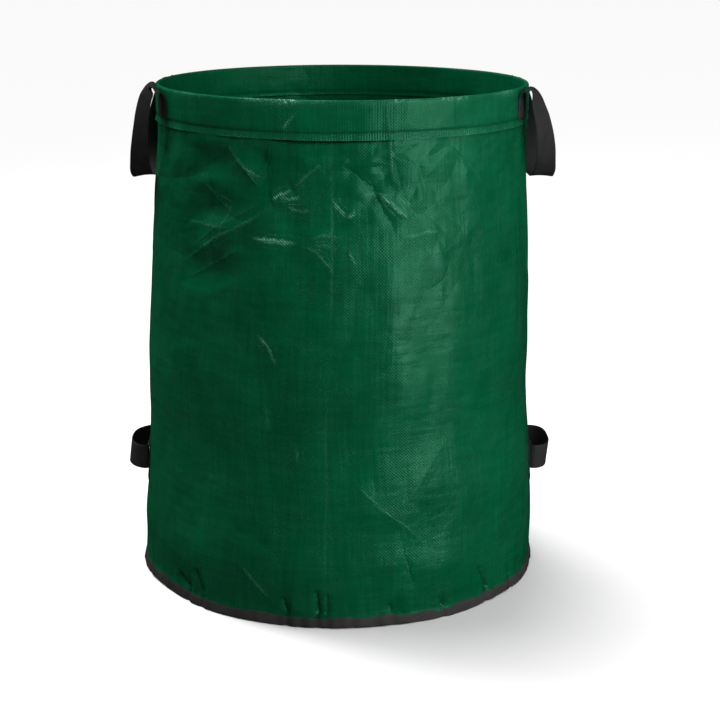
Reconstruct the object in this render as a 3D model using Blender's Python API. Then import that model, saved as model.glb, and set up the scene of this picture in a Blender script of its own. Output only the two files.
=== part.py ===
# Garden waste bag: a tall round tub of coated woven fabric held open at the mouth by a sprung hoop,
# with a twisted webbing carry loop on each side of the hem and a tipping loop low on each side.
# Metres, +Z up, the origin on the floor under the middle of the bag, the front towards -Y.

import math
import bpy
import bmesh
from mathutils import Matrix, Vector

# Overall size
RIM_RADIUS = 0.300            # outside of the hem at the mouth
BAG_HEIGHT = 0.803            # floor to the top of the hem

# Sheet and fitting
FABRIC = 0.0005               # coated woven fabric
TAPE = 0.0006                 # binding tape
WEBBING = 0.0014              # handle webbing, thickness
WEBBING_WIDTH = 0.040
WEBBING_EDGE = 0.0006         # rounding at the webbing's edges
CLEARANCE = 0.0003            # between any two pieces that lie on each other

# Wall: outside radius at named heights, as the filled bag stands
NECK_RADIUS = 0.2981
NECK_DROP = 0.0327            # below the hem's cut edge
SHOULDER_RADIUS = 0.3078
SHOULDER_HEIGHT = 0.560
BELLY_RADIUS = 0.3139
BELLY_HEIGHT = 0.360
WAIST_RADIUS = 0.3127
WAIST_HEIGHT = 0.285
SKIRT_RADIUS = 0.3246
SKIRT_HEIGHT = 0.085
FOOT_RADIUS = 0.3212
FOOT_HEIGHT = 0.0165

# Hoop in the hem
HOOP_STRIP = 0.0012           # polypropylene strip, thickness
HOOP_WIDTH = 0.040
RIVET_SHANK = 0.004           # diameter
RIVET_HEAD = 0.008            # diameter
RIVET_HEAD_RISE = 0.0007

# Hem
STITCH_DEPTH = 0.0475         # top of the hem to the stitched groove
STITCH_DRAW = 0.0009          # how far the stitches draw the layers in
HEM_DEPTH = 0.0583            # top of the hem to its cut edge outside
HEM_EDGE_LIFT = 0.0004        # how far that cut edge stands off
INNER_FLAP_DEPTH = 0.0530     # top of the hem to its cut edge inside

# Base and bottom seam
SEAM_SPLAY = math.radians(15)   # the seam allowance leans out from the vertical
BINDING_WIDTH = 0.0145          # height of the bound edge outside
INNER_BINDING = 0.0095          # height of the tape inside
BASE_FLAT_INSET = 0.0452        # the base lies flat on the floor up to this far inside the foot
BASE_RISE_INSET = 0.0202        # and is at its rise this far inside it
BASE_RISE = 0.0045

# Carry loops on the hem
CARRY_SPAN = 0.220            # between the middles of a loop's two roots
CARRY_DROP = 0.1570           # how far a loop hangs below its hinge line
CARRY_TAB_DEPTH = 0.0475      # sewn tab, down from the top of the hem
CARRY_TURN = 0.0220           # height over which a tab leaves the round hem
CARRY_HINGE_RISE = 0.0050     # the webbing turns over this far above the hem

# Tipping loops near the floor
TIP_SPAN = 0.114              # between the two roots of a loop
TIP_HEIGHT = 0.1845           # middle of the webbing above the floor
TIP_REACH = 0.0335            # how far a loop stands off its tabs
TIP_FULLNESS = {"left": 2.1, "right": 3.0}     # 2 is an ellipse, more is squarer
TIP_SWING = math.radians(25)  # the loop gives this far up and down
TIP_RELIEF = math.radians(5)  # more than the swing, cut from the corners of the roots
TIP_ROOT = 0.0020             # height of the loop's tip at each root
TIP_TAB = 0.030               # sewn end, turned in under the loop
PATCH = 0.0010                # reinforcing patch behind a tipping loop, thickness
PATCH_WIDTH = 0.122
PATCH_ABOVE = 0.0035          # the patch reaches past the webbing
PATCH_BELOW = 0.0185

# Fineness of the round pieces
FACETS = 64
STEP = 2 * math.pi / FACETS
RIM_SEGMENTS = 4

# Sizes that follow from the ones above
LAP_STEP = FABRIC + CLEARANCE                 # the back panel steps in under the front one
HOOP_ROOM = RIVET_HEAD_RISE + 2 * CLEARANCE   # from the hoop to the fabric on either side
HEM_THICKNESS = 3 * FABRIC + CLEARANCE + 2 * HOOP_ROOM + 2 * HOOP_STRIP + CLEARANCE
RIM_ROUND = HEM_THICKNESS / 2
LAYER_TOP = BAG_HEIGHT - RIM_ROUND            # top edge of the wall and of the hoop
HEM_EDGE = BAG_HEIGHT - HEM_DEPTH             # height of the hem's cut edge outside
HOOP_BOTTOM = LAYER_TOP - HOOP_WIDTH
WALL_TOP_RADIUS = RIM_RADIUS - FABRIC - CLEARANCE
HOOP_OUTER = WALL_TOP_RADIUS - FABRIC - HOOP_ROOM
HOOP_LAP_SHIFT = HOOP_STRIP + CLEARANCE
HEM_SEAT = RIM_RADIUS + CLEARANCE             # radius on which the carry tabs lie
CARRY_ROOT = CARRY_SPAN / 2
CARRY_HINGE_X = math.sqrt(HEM_SEAT ** 2 - (CARRY_ROOT - WEBBING_WIDTH / 2) ** 2) + WEBBING / 2
CARRY_HINGE_Z = BAG_HEIGHT + CARRY_HINGE_RISE

for old in list(bpy.data.objects):
    bpy.data.objects.remove(old, do_unlink=True)


# Materials

def make_material(name, colour, roughness, metallic=0.0):
    material = bpy.data.materials.new(name)
    material.use_nodes = True
    shader = material.node_tree.nodes["Principled BSDF"]
    shader.inputs["Base Color"].default_value = (*colour, 1.0)
    shader.inputs["Roughness"].default_value = roughness
    shader.inputs["Metallic"].default_value = metallic
    material.diffuse_color = (*colour, 1.0)
    return material


green_fabric = make_material("green_fabric", (0.004, 0.070, 0.026), 0.38)
black_webbing = make_material("black_webbing", (0.012, 0.012, 0.012), 0.85)
black_tape = make_material("black_tape", (0.030, 0.028, 0.028), 0.75)
hoop_plastic = make_material("hoop_plastic", (0.55, 0.56, 0.52), 0.50)
rivet_metal = make_material("rivet_metal", (0.60, 0.60, 0.60), 0.35, 1.0)


# Making solids

def finish(bm, name, material):
    """Turn a closed bmesh into a named object with its faces outwards."""
    bmesh.ops.remove_doubles(bm, verts=bm.verts, dist=1e-6)
    bmesh.ops.recalc_face_normals(bm, faces=bm.faces)
    mesh = bpy.data.meshes.new(name)
    bm.to_mesh(mesh)
    bm.free()
    mesh.shade_smooth()
    mesh.set_sharp_from_angle(angle=math.radians(35))
    mesh.materials.append(material)
    piece = bpy.data.objects.new(name, mesh)
    bpy.context.collection.objects.link(piece)
    return piece


def turn(name, outline, material, first=0, last=FACETS, shift=None):
    """Spin a closed outline of (radius, height) about Z from one facet line to another.

    shift gives how far the outline moves inwards at a facet line."""
    bm = bmesh.new()
    corners = [bm.verts.new((radius, 0.0, height)) for radius, height in outline]
    edges = [bm.edges.new(pair) for pair in zip(corners, corners[1:] + corners[:1])]
    count = last - first
    bmesh.ops.spin(bm, geom=corners + edges, cent=(0, 0, 0), axis=(0, 0, 1),
                   angle=count * STEP, steps=count)
    if count != FACETS:
        ends = [edge for edge in bm.edges if edge.is_boundary]
        bmesh.ops.holes_fill(bm, edges=ends, sides=0)
    if shift:
        for vert in bm.verts:
            line = round(math.atan2(vert.co.y, vert.co.x) / STEP) % FACETS
            radius = math.hypot(vert.co.x, vert.co.y)
            factor = 1 - shift(line) / radius
            vert.co.x *= factor
            vert.co.y *= factor
    bmesh.ops.rotate(bm, verts=bm.verts, cent=(0, 0, 0), matrix=Matrix.Rotation(first * STEP, 3, "Z"))
    return finish(bm, name, material)


def loft(name, rings, material):
    """Join a row of rings, each a closed list of points, into one solid with flat ends."""
    bm = bmesh.new()
    rows = [[bm.verts.new(point) for point in ring] for ring in rings]
    for row, following in zip(rows, rows[1:]):
        for i in range(len(row)):
            j = (i + 1) % len(row)
            bm.faces.new((row[i], row[j], following[j], following[i]))
    bm.faces.new(rows[0])
    bm.faces.new(rows[-1])
    return finish(bm, name, material)


def offset(line, distance):
    """Move an open line of (radius, height) sideways, mitred at its corners.

    Walking down the outside of the bag, a positive distance is outwards."""
    normals = []
    for (r0, z0), (r1, z1) in zip(line, line[1:]):
        run = math.hypot(r1 - r0, z1 - z0)
        normals.append(Vector(((z0 - z1) / run, (r1 - r0) / run)))
    moved = []
    for i, (radius, height) in enumerate(line):
        before = normals[max(i - 1, 0)]
        after = normals[min(i, len(normals) - 1)]
        mitre = (before + after) / (1 + before.dot(after))
        moved.append((radius + mitre.x * distance, height + mitre.y * distance))
    return moved


def sheet_outline(line, thickness):
    """Closed outline of a sheet that has the line as one face."""
    return line + offset(line, thickness)[::-1]


def ease(share):
    return (1 - math.cos(math.pi * share)) / 2


# Lines of the section

def seam_point(out, height):
    """Point of the splayed bottom seam, at a distance out from the wall's outer face."""
    return (FOOT_RADIUS + out / math.cos(SEAM_SPLAY) + (FOOT_HEIGHT - height) * math.tan(SEAM_SPLAY),
            height)


def between(low, high, height):
    share = (height - low[1]) / (high[1] - low[1])
    return low[0] + share * (high[0] - low[0])


def make_wall_line():
    """Outer face of the wall, from its top edge inside the hem down to the bottom seam."""
    groove = (WALL_TOP_RADIUS - STITCH_DRAW, BAG_HEIGHT - STITCH_DEPTH)
    neck = (NECK_RADIUS, HEM_EDGE - NECK_DROP)
    line = [(WALL_TOP_RADIUS, LAYER_TOP), (WALL_TOP_RADIUS, HOOP_BOTTOM), groove]
    line.append((between(neck, groove, HEM_EDGE), HEM_EDGE))
    line.append(neck)
    shape = [neck, (SHOULDER_RADIUS, SHOULDER_HEIGHT), (BELLY_RADIUS, BELLY_HEIGHT),
             (WAIST_RADIUS, WAIST_HEIGHT), (SKIRT_RADIUS, SKIRT_HEIGHT), (FOOT_RADIUS, FOOT_HEIGHT)]
    for (r0, z0), (r1, z1) in zip(shape, shape[1:]):
        line.append(((r0 + r1) / 2, (z0 + z1) / 2))
        line.append((r1, z1))
    line.append(seam_point(0, TAPE + 2 * CLEARANCE))
    return line


wall_line = make_wall_line()


def wall_radius(height):
    """Outside radius of the wall at a height."""
    for high, low in zip(wall_line, wall_line[1:]):
        if low[1] <= height <= high[1]:
            return between(low, high, height)
    return wall_line[0][0]


def make_hem_line():
    """Visible face of the hem: up the outside, over the rim and down the inside."""
    wall_edge = wall_radius(HEM_EDGE)
    edge = wall_edge + CLEARANCE + FABRIC + HEM_EDGE_LIFT
    line = [(edge, HEM_EDGE), (RIM_RADIUS - STITCH_DRAW, BAG_HEIGHT - STITCH_DEPTH),
            (RIM_RADIUS, HOOP_BOTTOM)]
    for i in range(RIM_SEGMENTS + 1):
        angle = math.pi * i / RIM_SEGMENTS
        line.append((RIM_RADIUS - RIM_ROUND + RIM_ROUND * math.cos(angle),
                     LAYER_TOP + RIM_ROUND * math.sin(angle)))
    inside = RIM_RADIUS - HEM_THICKNESS
    drawn = wall_radius(BAG_HEIGHT - INNER_FLAP_DEPTH) - FABRIC - LAP_STEP - CLEARANCE - FABRIC
    line.append((inside, HOOP_BOTTOM - CLEARANCE))
    line.append((drawn, BAG_HEIGHT - STITCH_DEPTH - CLEARANCE))
    line.append((drawn, BAG_HEIGHT - INNER_FLAP_DEPTH))
    return line


# Fabric pieces

def make_wall():
    """Two half shells; the back one steps in where the front one laps over it at each side."""
    outline = sheet_outline(wall_line, -FABRIC)
    half = FACETS // 2
    under_lap = (0, 1, half - 1, half)
    turn("wall_front", outline, green_fabric, half - 1, FACETS + 1)
    turn("wall_back", outline, green_fabric, 0, half,
         shift=lambda line: LAP_STEP if line in under_lap else 0)


def make_hem():
    turn("hem_sleeve", sheet_outline(make_hem_line(), FABRIC), green_fabric)


def make_base():
    """Base panel: flat on the floor, climbing to the seam and turned down inside it."""
    depth = FABRIC + LAP_STEP + CLEARANCE + FABRIC
    line = [(0, 0), (FOOT_RADIUS - BASE_FLAT_INSET, 0), (FOOT_RADIUS - BASE_RISE_INSET, BASE_RISE),
            seam_point(-depth, FOOT_HEIGHT), seam_point(-depth, TAPE + 2 * CLEARANCE)]
    turn("base_panel", sheet_outline(line, FABRIC), green_fabric)
    inner = -depth - CLEARANCE
    turn("base_binding", [
        seam_point(CLEARANCE + TAPE, BINDING_WIDTH),
        seam_point(CLEARANCE + TAPE, 0),
        seam_point(inner - TAPE, 0),
        seam_point(inner - TAPE, INNER_BINDING),
        seam_point(inner, INNER_BINDING),
        seam_point(inner, TAPE),
        seam_point(CLEARANCE, TAPE),
        seam_point(CLEARANCE, BINDING_WIDTH)], black_tape)


# Hoop

def make_hoop():
    """A sprung strip bent to a ring, its ends lapped at the back and held by two rivets."""
    back = FACETS // 4
    ramp = 3

    outline = [(HOOP_OUTER, LAYER_TOP), (HOOP_OUTER, HOOP_BOTTOM),
               (HOOP_OUTER - HOOP_STRIP, HOOP_BOTTOM), (HOOP_OUTER - HOOP_STRIP, LAYER_TOP)]
    first = back - 1
    last = first + FACETS + 2
    rings = []
    for line in range(first, last + 1):
        inward = HOOP_LAP_SHIFT * min(max((line - (last - 3 - ramp)) / ramp, 0), 1)
        rings.append([(math.cos(line * STEP) * (radius - inward),
                       math.sin(line * STEP) * (radius - inward), height)
                      for radius, height in outline])
    hoop = loft("rim_hoop", rings, hoop_plastic)

    flat = math.cos(STEP / 2)
    outer_face = HOOP_OUTER * flat
    inner_face = (HOOP_OUTER - HOOP_STRIP - HOOP_LAP_SHIFT) * flat
    height = (LAYER_TOP + HOOP_BOTTOM) / 2
    for name, line in (("hoop_rivet_left", back + 0.5), ("hoop_rivet_right", back - 0.5)):
        place = Matrix.Translation((0, 0, height)) @ Matrix.Rotation(line * STEP, 4, "Z") \
            @ Matrix.Rotation(math.pi / 2, 4, "Y")
        hole = make_cutter(name + "_hole", RIVET_SHANK / 2 + CLEARANCE,
                           inner_face - HOOP_ROOM, outer_face + HOOP_ROOM, place)
        cut = hoop.modifiers.new(name, "BOOLEAN")
        cut.operation = "DIFFERENCE"
        cut.solver = "EXACT"
        cut.object = hole
        make_rivet(name, inner_face - CLEARANCE, outer_face + CLEARANCE, place)


def make_cutter(name, radius, low, high, place):
    bm = bmesh.new()
    bmesh.ops.create_cone(bm, cap_ends=True, segments=16, radius1=radius, radius2=radius,
                          depth=high - low)
    bmesh.ops.translate(bm, verts=bm.verts, vec=(0, 0, (low + high) / 2))
    bmesh.ops.transform(bm, verts=bm.verts, matrix=place)
    cutter = finish(bm, name, hoop_plastic)
    cutter.hide_render = True
    cutter.display_type = "WIRE"
    return cutter


def make_rivet(name, low, high, place):
    """Rivet along its own Z: shank and two low domed heads, turned from one half section."""
    shank = RIVET_SHANK / 2
    head = RIVET_HEAD / 2
    edge = RIVET_HEAD_RISE * 0.4
    section = [(0, high + RIVET_HEAD_RISE), (head * 0.6, high + RIVET_HEAD_RISE), (head, high + edge),
               (head, high), (shank, high), (shank, low), (head, low),
               (head, low - edge), (head * 0.6, low - RIVET_HEAD_RISE), (0, low - RIVET_HEAD_RISE)]
    bm = bmesh.new()
    corners = [bm.verts.new((radius, 0, height)) for radius, height in section]
    edges = [bm.edges.new(pair) for pair in zip(corners, corners[1:])]
    bmesh.ops.spin(bm, geom=corners + edges, cent=(0, 0, 0), axis=(0, 0, 1),
                   angle=2 * math.pi, steps=16)
    bmesh.ops.remove_doubles(bm, verts=bm.verts, dist=1e-6)
    bmesh.ops.transform(bm, verts=bm.verts, matrix=place)
    return finish(bm, name, rivet_metal)


# Webbing

def webbing_ring(centre, across, normal, half_width=WEBBING_WIDTH / 2):
    """Section of the webbing: six corners, thinner at its two edges."""
    side = max(half_width - WEBBING_EDGE, half_width * 0.2)
    lift = normal * (WEBBING / 2)
    return [centre - across * half_width, centre - across * side - lift,
            centre + across * side - lift, centre + across * half_width,
            centre + across * side + lift, centre - across * side + lift]


def through(points, parts):
    """Smooth curve through the points (Catmull-Rom), with so many parts to each stretch."""
    ends = [2 * points[0] - points[1]] + points + [2 * points[-1] - points[-2]]
    curve = []
    for before, a, b, after in zip(ends, ends[1:], ends[2:], ends[3:]):
        for i in range(parts):
            t = i / parts
            curve.append(0.5 * (2 * a + (b - before) * t + (2 * before - 5 * a + 4 * b - after) * t * t
                                + (3 * a - before - 3 * b + after) * t ** 3))
    curve.append(points[-1].copy())
    return curve


def webbing_loop(name, path, widths, half_widths=None):
    """Webbing swept along a path, its width turned as the path's width directions say."""
    rings = []
    for i, centre in enumerate(path):
        along = (path[min(i + 1, len(path) - 1)] - path[max(i - 1, 0)]).normalized()
        across = (widths[i] - along * widths[i].dot(along)).normalized()
        half_width = half_widths[i] if half_widths else WEBBING_WIDTH / 2
        rings.append(webbing_ring(centre, across, along.cross(across), half_width))
    return loft(name, rings, black_webbing)


def flip(points, side):
    """Right-hand points as they are, left-hand ones mirrored in the bag's middle plane."""
    return [Vector((point.x * side, point.y, point.z)) for point in points]


# Carry loops: half of the right one, as shares of how far it stands out, of half its span
# and of its drop, with the direction of the webbing's width. It leaves the hem flat,
# twists as it turns over and hangs on edge, with its outer edge a little lower.
CARRY_SHAPE = [
    ((0.00, 1.000, 0.000), (0.00, 1.00, 0.00)),
    ((0.16, 1.000, 0.000), (0.08, 1.00, 0.02)),
    ((0.33, 0.995, -0.004), (0.34, 0.92, 0.11)),
    ((0.53, 0.986, -0.052), (0.50, 0.84, 0.15)),
    ((0.67, 0.973, -0.143), (0.56, 0.80, 0.08)),
    ((0.78, 0.950, -0.313), (0.66, 0.75, 0.02)),
    ((0.86, 0.890, -0.520), (0.72, 0.69, 0.00)),
    ((0.92, 0.764, -0.730), (0.80, 0.60, -0.04)),
    ((0.96, 0.527, -0.900), (0.90, 0.40, -0.08)),
    ((0.985, 0.255, -0.980), (0.97, 0.20, -0.12)),
    ((1.00, 0.000, -1.000), (0.98, 0.00, -0.16)),
]


def make_carry_loops():
    edge_share = CARRY_SHAPE[-1][1][0]
    drop_heights = [CARRY_HINGE_Z - CARRY_DROP * i / 8 for i in range(9)]
    clear = max([RIM_RADIUS] + [wall_radius(height) for height in drop_heights]) + CLEARANCE
    stand_out = clear + edge_share * WEBBING_WIDTH / 2 - CARRY_HINGE_X
    front = []
    turns = []
    for (out, along, up), width in CARRY_SHAPE:
        front.append(Vector((CARRY_HINGE_X + out * stand_out, -along * CARRY_ROOT,
                             CARRY_HINGE_Z + up * CARRY_DROP)))
        turns.append(Vector(width))
    mirror = Vector((1, -1, 1))
    points = front + [point * mirror for point in front[-2::-1]]
    widths = turns + [width * mirror for width in turns[-2::-1]]
    for side_name, side in (("left", -1), ("right", 1)):
        path = through(flip(points, side), 2)
        across = through(flip(widths, side), 2)
        webbing_loop("carry_loop_" + side_name, path, across)


def make_carry_tabs():
    """Sewn ends on the hem: round with it below, straight along the hinge line at the top."""
    middle = math.asin(CARRY_ROOT / HEM_SEAT)
    half_angle = WEBBING_WIDTH / 2 / HEM_SEAT
    top = CARRY_HINGE_Z - WEBBING / 2 - CLEARANCE
    heights = [BAG_HEIGHT - CARRY_TAB_DEPTH, BAG_HEIGHT - CARRY_TURN]
    heights += [heights[1] + (top - heights[1]) * i / 5 for i in range(1, 6)]
    shares = [i / 4 - 1 for i in range(9)]
    for side_name, side in (("left", -1), ("right", 1)):
        for end_name, end in (("front", -1), ("back", 1)):
            rings = []
            for height in heights:
                turned = ease(min(max((height - heights[1]) / (top - heights[1]), 0), 1))
                inner = []
                outer = []
                for share in shares:
                    angle = middle + share * half_angle
                    low = Vector((math.cos(angle), math.sin(angle), 0))
                    on_hem = low * HEM_SEAT
                    on_line = Vector((CARRY_HINGE_X - WEBBING / 2,
                                      CARRY_ROOT + share * WEBBING_WIDTH / 2, 0))
                    point = on_hem.lerp(on_line, turned)
                    point.z = height
                    inner.append(point)
                    outer.append(point + low.lerp(Vector((1, 0, 0)), turned).normalized() * WEBBING)
                ring = inner + outer[::-1]
                rings.append([Vector((p.x * side, p.y * end, p.z)) for p in ring])
            loft("carry_tab_%s_%s" % (side_name, end_name), rings, black_webbing)


# Tipping loops

def wall_plate(name, side, low_y, high_y, low_z, high_z, gap, thickness, material):
    """A piece sewn flat on the wall, between two distances across and two heights."""
    heights = [low_z + (high_z - low_z) * i / 4 for i in range(5)]
    rings = []
    for i in range(9):
        across = low_y + (high_y - low_y) * i / 8
        ring = []
        for height, lift in [(z, gap) for z in heights] + [(z, gap + thickness) for z in heights[::-1]]:
            radius = wall_radius(height) + lift
            ring.append(Vector((side * math.sqrt(radius ** 2 - across ** 2), across, height)))
        rings.append(ring)
    return loft(name, rings, material)


def make_tipping_loops():
    root = TIP_SPAN / 2
    half = WEBBING_WIDTH / 2
    low = TIP_HEIGHT - half
    high = TIP_HEIGHT + half
    tab_gap = CLEARANCE + PATCH + CLEARANCE
    tab_face = wall_radius(TIP_HEIGHT) + tab_gap + WEBBING
    hinge_x = math.sqrt(tab_face ** 2 - root ** 2)
    relief = math.tan(TIP_SWING + TIP_RELIEF)
    for side_name, side in (("left", -1), ("right", 1)):
        wall_plate("tipping_patch_" + side_name, side, -PATCH_WIDTH / 2, PATCH_WIDTH / 2,
                   low - PATCH_BELOW, high + PATCH_ABOVE, CLEARANCE, PATCH, black_tape)
        for end_name, end in (("front", -1), ("back", 1)):
            inward = root - TIP_TAB
            ends = sorted((end * inward, end * root))
            wall_plate("tipping_tab_%s_%s" % (side_name, end_name), side, ends[0], ends[1],
                       low, high, tab_gap, WEBBING, black_webbing)
        path = []
        half_widths = []
        for angle in tip_angles(TIP_FULLNESS[side_name], relief):
            power = 2 / TIP_FULLNESS[side_name]
            out = TIP_REACH * abs(math.sin(angle)) ** power
            along = -root * math.copysign(abs(math.cos(angle)) ** power, math.cos(angle))
            path.append(Vector((side * (hinge_x + out), along, TIP_HEIGHT)))
            half_widths.append(min(half, out / relief))
        webbing_loop("tipping_loop_" + side_name, path, [Vector((0, 0, 1))] * len(path), half_widths)


def tip_angles(fullness, relief):
    """Angles round half an oval, from one root to the other, closer together at the roots."""
    first = math.asin((TIP_ROOT / 2 * relief / TIP_REACH) ** (fullness / 2))
    full = math.asin((WEBBING_WIDTH / 2 * relief / TIP_REACH) ** (fullness / 2))
    start = [first + (full - first) * i / 3 for i in range(3)]
    middle = [full + (math.pi - 2 * full) * i / 16 for i in range(17)]
    return start + middle + [math.pi - angle for angle in start[::-1]]


make_wall()
make_hem()
make_base()
make_hoop()
make_carry_tabs()
make_carry_loops()
make_tipping_loops()
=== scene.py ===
# Garden waste bag: the sewn bag, its hem, bound foot, carry straps and tipping straps,
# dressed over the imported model. Metres, +Z up, the front of the bag towards -Y.
import math

import bmesh
import bpy
import numpy as np
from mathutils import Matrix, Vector


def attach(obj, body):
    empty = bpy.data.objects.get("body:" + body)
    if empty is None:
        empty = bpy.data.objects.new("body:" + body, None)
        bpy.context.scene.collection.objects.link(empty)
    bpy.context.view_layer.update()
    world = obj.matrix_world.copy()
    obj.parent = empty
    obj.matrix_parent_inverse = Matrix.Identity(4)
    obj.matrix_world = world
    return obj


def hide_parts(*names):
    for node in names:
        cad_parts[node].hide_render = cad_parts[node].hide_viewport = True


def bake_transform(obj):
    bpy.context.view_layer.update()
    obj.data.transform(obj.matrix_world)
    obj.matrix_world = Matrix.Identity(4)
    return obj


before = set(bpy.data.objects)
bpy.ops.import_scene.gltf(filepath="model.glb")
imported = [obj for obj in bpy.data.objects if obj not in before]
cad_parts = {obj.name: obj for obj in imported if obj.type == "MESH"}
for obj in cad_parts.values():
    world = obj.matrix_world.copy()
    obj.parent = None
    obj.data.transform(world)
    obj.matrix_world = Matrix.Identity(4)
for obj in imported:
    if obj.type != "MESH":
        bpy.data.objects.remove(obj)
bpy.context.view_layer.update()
scene = bpy.context.scene
print("frame loaded:", len(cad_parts), "nodes")


# Camera, as the photograph was taken: level across, looking a little down
cameraView = {
    "place": (0.0, -2.640, 1.0558),
    "pitch": 12.5,
    "lens": 81.49,
    "shift": (0.0249, -0.1036),
}
bpy.ops.object.camera_add(location=cameraView["place"],
                          rotation=(math.radians(90 - cameraView["pitch"]), 0, 0))
camera = bpy.context.active_object
camera.name = "photoCamera"
camera.data.sensor_width = 36
camera.data.lens = cameraView["lens"]
camera.data.shift_x, camera.data.shift_y = cameraView["shift"]
scene.camera = camera


# Small helps for modelling

def pickOnly(piece):
    if bpy.context.mode != "OBJECT":
        bpy.ops.object.mode_set(mode="OBJECT")
    bpy.ops.object.select_all(action="DESELECT")
    piece.select_set(True)
    bpy.context.view_layer.objects.active = piece


def applyModifier(piece, kind, **settings):
    pickOnly(piece)
    modifier = piece.modifiers.new(kind, kind)
    for name, value in settings.items():
        setattr(modifier, name, value)
    bpy.ops.object.modifier_apply(modifier=modifier.name)


def editAll(piece, operator, **settings):
    # one edit-mode operator on the whole piece
    pickOnly(piece)
    bpy.ops.object.mode_set(mode="EDIT")
    bpy.ops.mesh.select_all(action="SELECT")
    operator(**settings)
    bpy.ops.object.mode_set(mode="OBJECT")


def addGrid(name, columns, rows, low, high):
    # flat cloth as cut: x runs along it and y up it, in metres
    bpy.ops.object.select_all(action="DESELECT")
    bpy.ops.mesh.primitive_grid_add(x_subdivisions=columns, y_subdivisions=rows, size=1)
    piece = bpy.context.active_object
    piece.name = piece.data.name = name
    flat = readCorners(piece) + 0.5
    flat[:, 0] = low[0] + (high[0] - low[0]) * flat[:, 0]
    flat[:, 1] = low[1] + (high[1] - low[1]) * flat[:, 1]
    flat[:, 2] = 0
    writeCorners(piece, flat)
    return piece


def readCorners(piece):
    corners = np.empty(len(piece.data.vertices) * 3)
    piece.data.vertices.foreach_get("co", corners)
    return corners.reshape(-1, 3)


def writeCorners(piece, corners):
    piece.data.vertices.foreach_set("co", corners.ravel())
    piece.data.update()


def writeUV(piece, along, up):
    owners = np.empty(len(piece.data.loops), dtype=np.int32)
    piece.data.loops.foreach_get("vertex_index", owners)
    layer = piece.data.uv_layers[0] if piece.data.uv_layers else piece.data.uv_layers.new(name="UVMap")
    layer.data.foreach_set("uv", np.stack([along[owners], up[owners]], axis=1).ravel())


def writeCreaseMasks(piece, angle, height, wearAndSheen, paintedShade):
    # what the cloth's material reads: its creases, its worn places with their painted highlights, and its
    # painted shade
    line, depth, creaseWearAndSheen = creaseLines(angle, height)
    masks = {"paintedShade": paintedShade, "creaseLine": line, "creaseDepth": depth, "creaseWearAndSheen": creaseWearAndSheen, "wearAndSheen": wearAndSheen}
    for name, values in masks.items():
        mask = piece.data.attributes.new(name, "FLOAT", "POINT")
        mask.data.foreach_set("value", (values + np.zeros_like(angle)).astype(np.float32))


def closeSeam(piece):
    # the two ends of a strip that runs round are welded
    editAll(piece, bpy.ops.mesh.remove_doubles, threshold=1e-5)


def faceOutwards(piece):
    editAll(piece, bpy.ops.mesh.normals_make_consistent, inside=False)


def smoothFaces(piece, angle):
    pickOnly(piece)
    bpy.ops.object.shade_smooth_by_angle(angle=math.radians(angle))


def dress(piece, material):
    # a piece of the bag's own body, with its one material
    piece.data.materials.clear()
    piece.data.materials.append(material)
    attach(piece, "bag")


def roundPlace(angle, radius, height=0.0, lean=0.0):
    # points round the bag, each at its angle from the front; at a radius of 1 also the way outwards
    return np.stack([lean + radius * np.sin(angle), -radius * np.cos(angle), height + 0.0 * angle], axis=1)


def apart(turn, middle):
    # degrees from a place round the bag, -180 to 180
    return (turn - middle + 180) % 360 - 180


# The skin of the standing bag: outside radius and lean to the right at named heights
bagSkin = {
    "heights": (-0.01, 0.018, 0.045, 0.090, 0.150, 0.205, 0.270, 0.310, 0.380, 0.480, 0.560,
                0.650, 0.712, 0.745, 0.803),
    "radii": (0.3235, 0.3235, 0.3245, 0.3265, 0.3215, 0.3190, 0.3140, 0.3135, 0.3145, 0.3110,
              0.3080, 0.3025, 0.2985, 0.2985, 0.3000),
    "lean": (-0.0060, -0.0060, -0.0060, -0.0063, -0.0040, -0.0030, -0.0057, -0.0073, -0.0058,
             -0.0026, -0.0018, -0.0020, 0.0, 0.0, 0.0),
    "softening": 0.012,
    "meanRadius": 0.310,
    "height": 0.803,
    "top": 0.79945,
    "hoopBottom": 0.7594,
    "groove": 0.7555,
    "hemEdge": 0.7447,
    "foot": 0.0165,
    "splay": math.tan(math.radians(15)),
}


def softened(values):
    # the straight runs between the named heights, with their corners rounded
    step = 0.001
    low, high = bagSkin["heights"][0], bagSkin["heights"][-1]
    fine = np.linspace(low, high, round((high - low) / step) + 1)
    plain = np.interp(fine, bagSkin["heights"], values)
    reach = int(bagSkin["softening"] / step)
    weights = np.exp(-0.5 * (np.arange(-3 * reach, 3 * reach + 1) / reach) ** 2)
    padded = np.pad(plain, 3 * reach, mode="edge")
    return fine, np.convolve(padded, weights / weights.sum(), mode="valid")


skinHeights, skinRadii = softened(bagSkin["radii"])
skinLean = softened(bagSkin["lean"])[1]


def foldWaves(angle, height, seed, count, turns, rise):
    # soft irregular folds, the same after one turn round the bag
    dice = np.random.default_rng(seed)
    total = np.zeros_like(angle)
    for _ in range(count):
        around = dice.integers(turns[0], turns[1] + 1)
        slope = dice.uniform(rise[0], rise[1]) * dice.choice((-1, 1))
        total += np.sin(around * angle + slope * height + dice.uniform(0, 2 * math.pi))
    return total / math.sqrt(count)


def oneTurn(angle):
    return (angle + math.pi) % (2 * math.pi) - math.pi


def fade(value, start, end):
    share = np.clip((value - start) / (end - start), 0, 1)
    return share * share * (3 - 2 * share)


mm = 0.001
farOff = 9.0           # more than any distance on the bag
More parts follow.
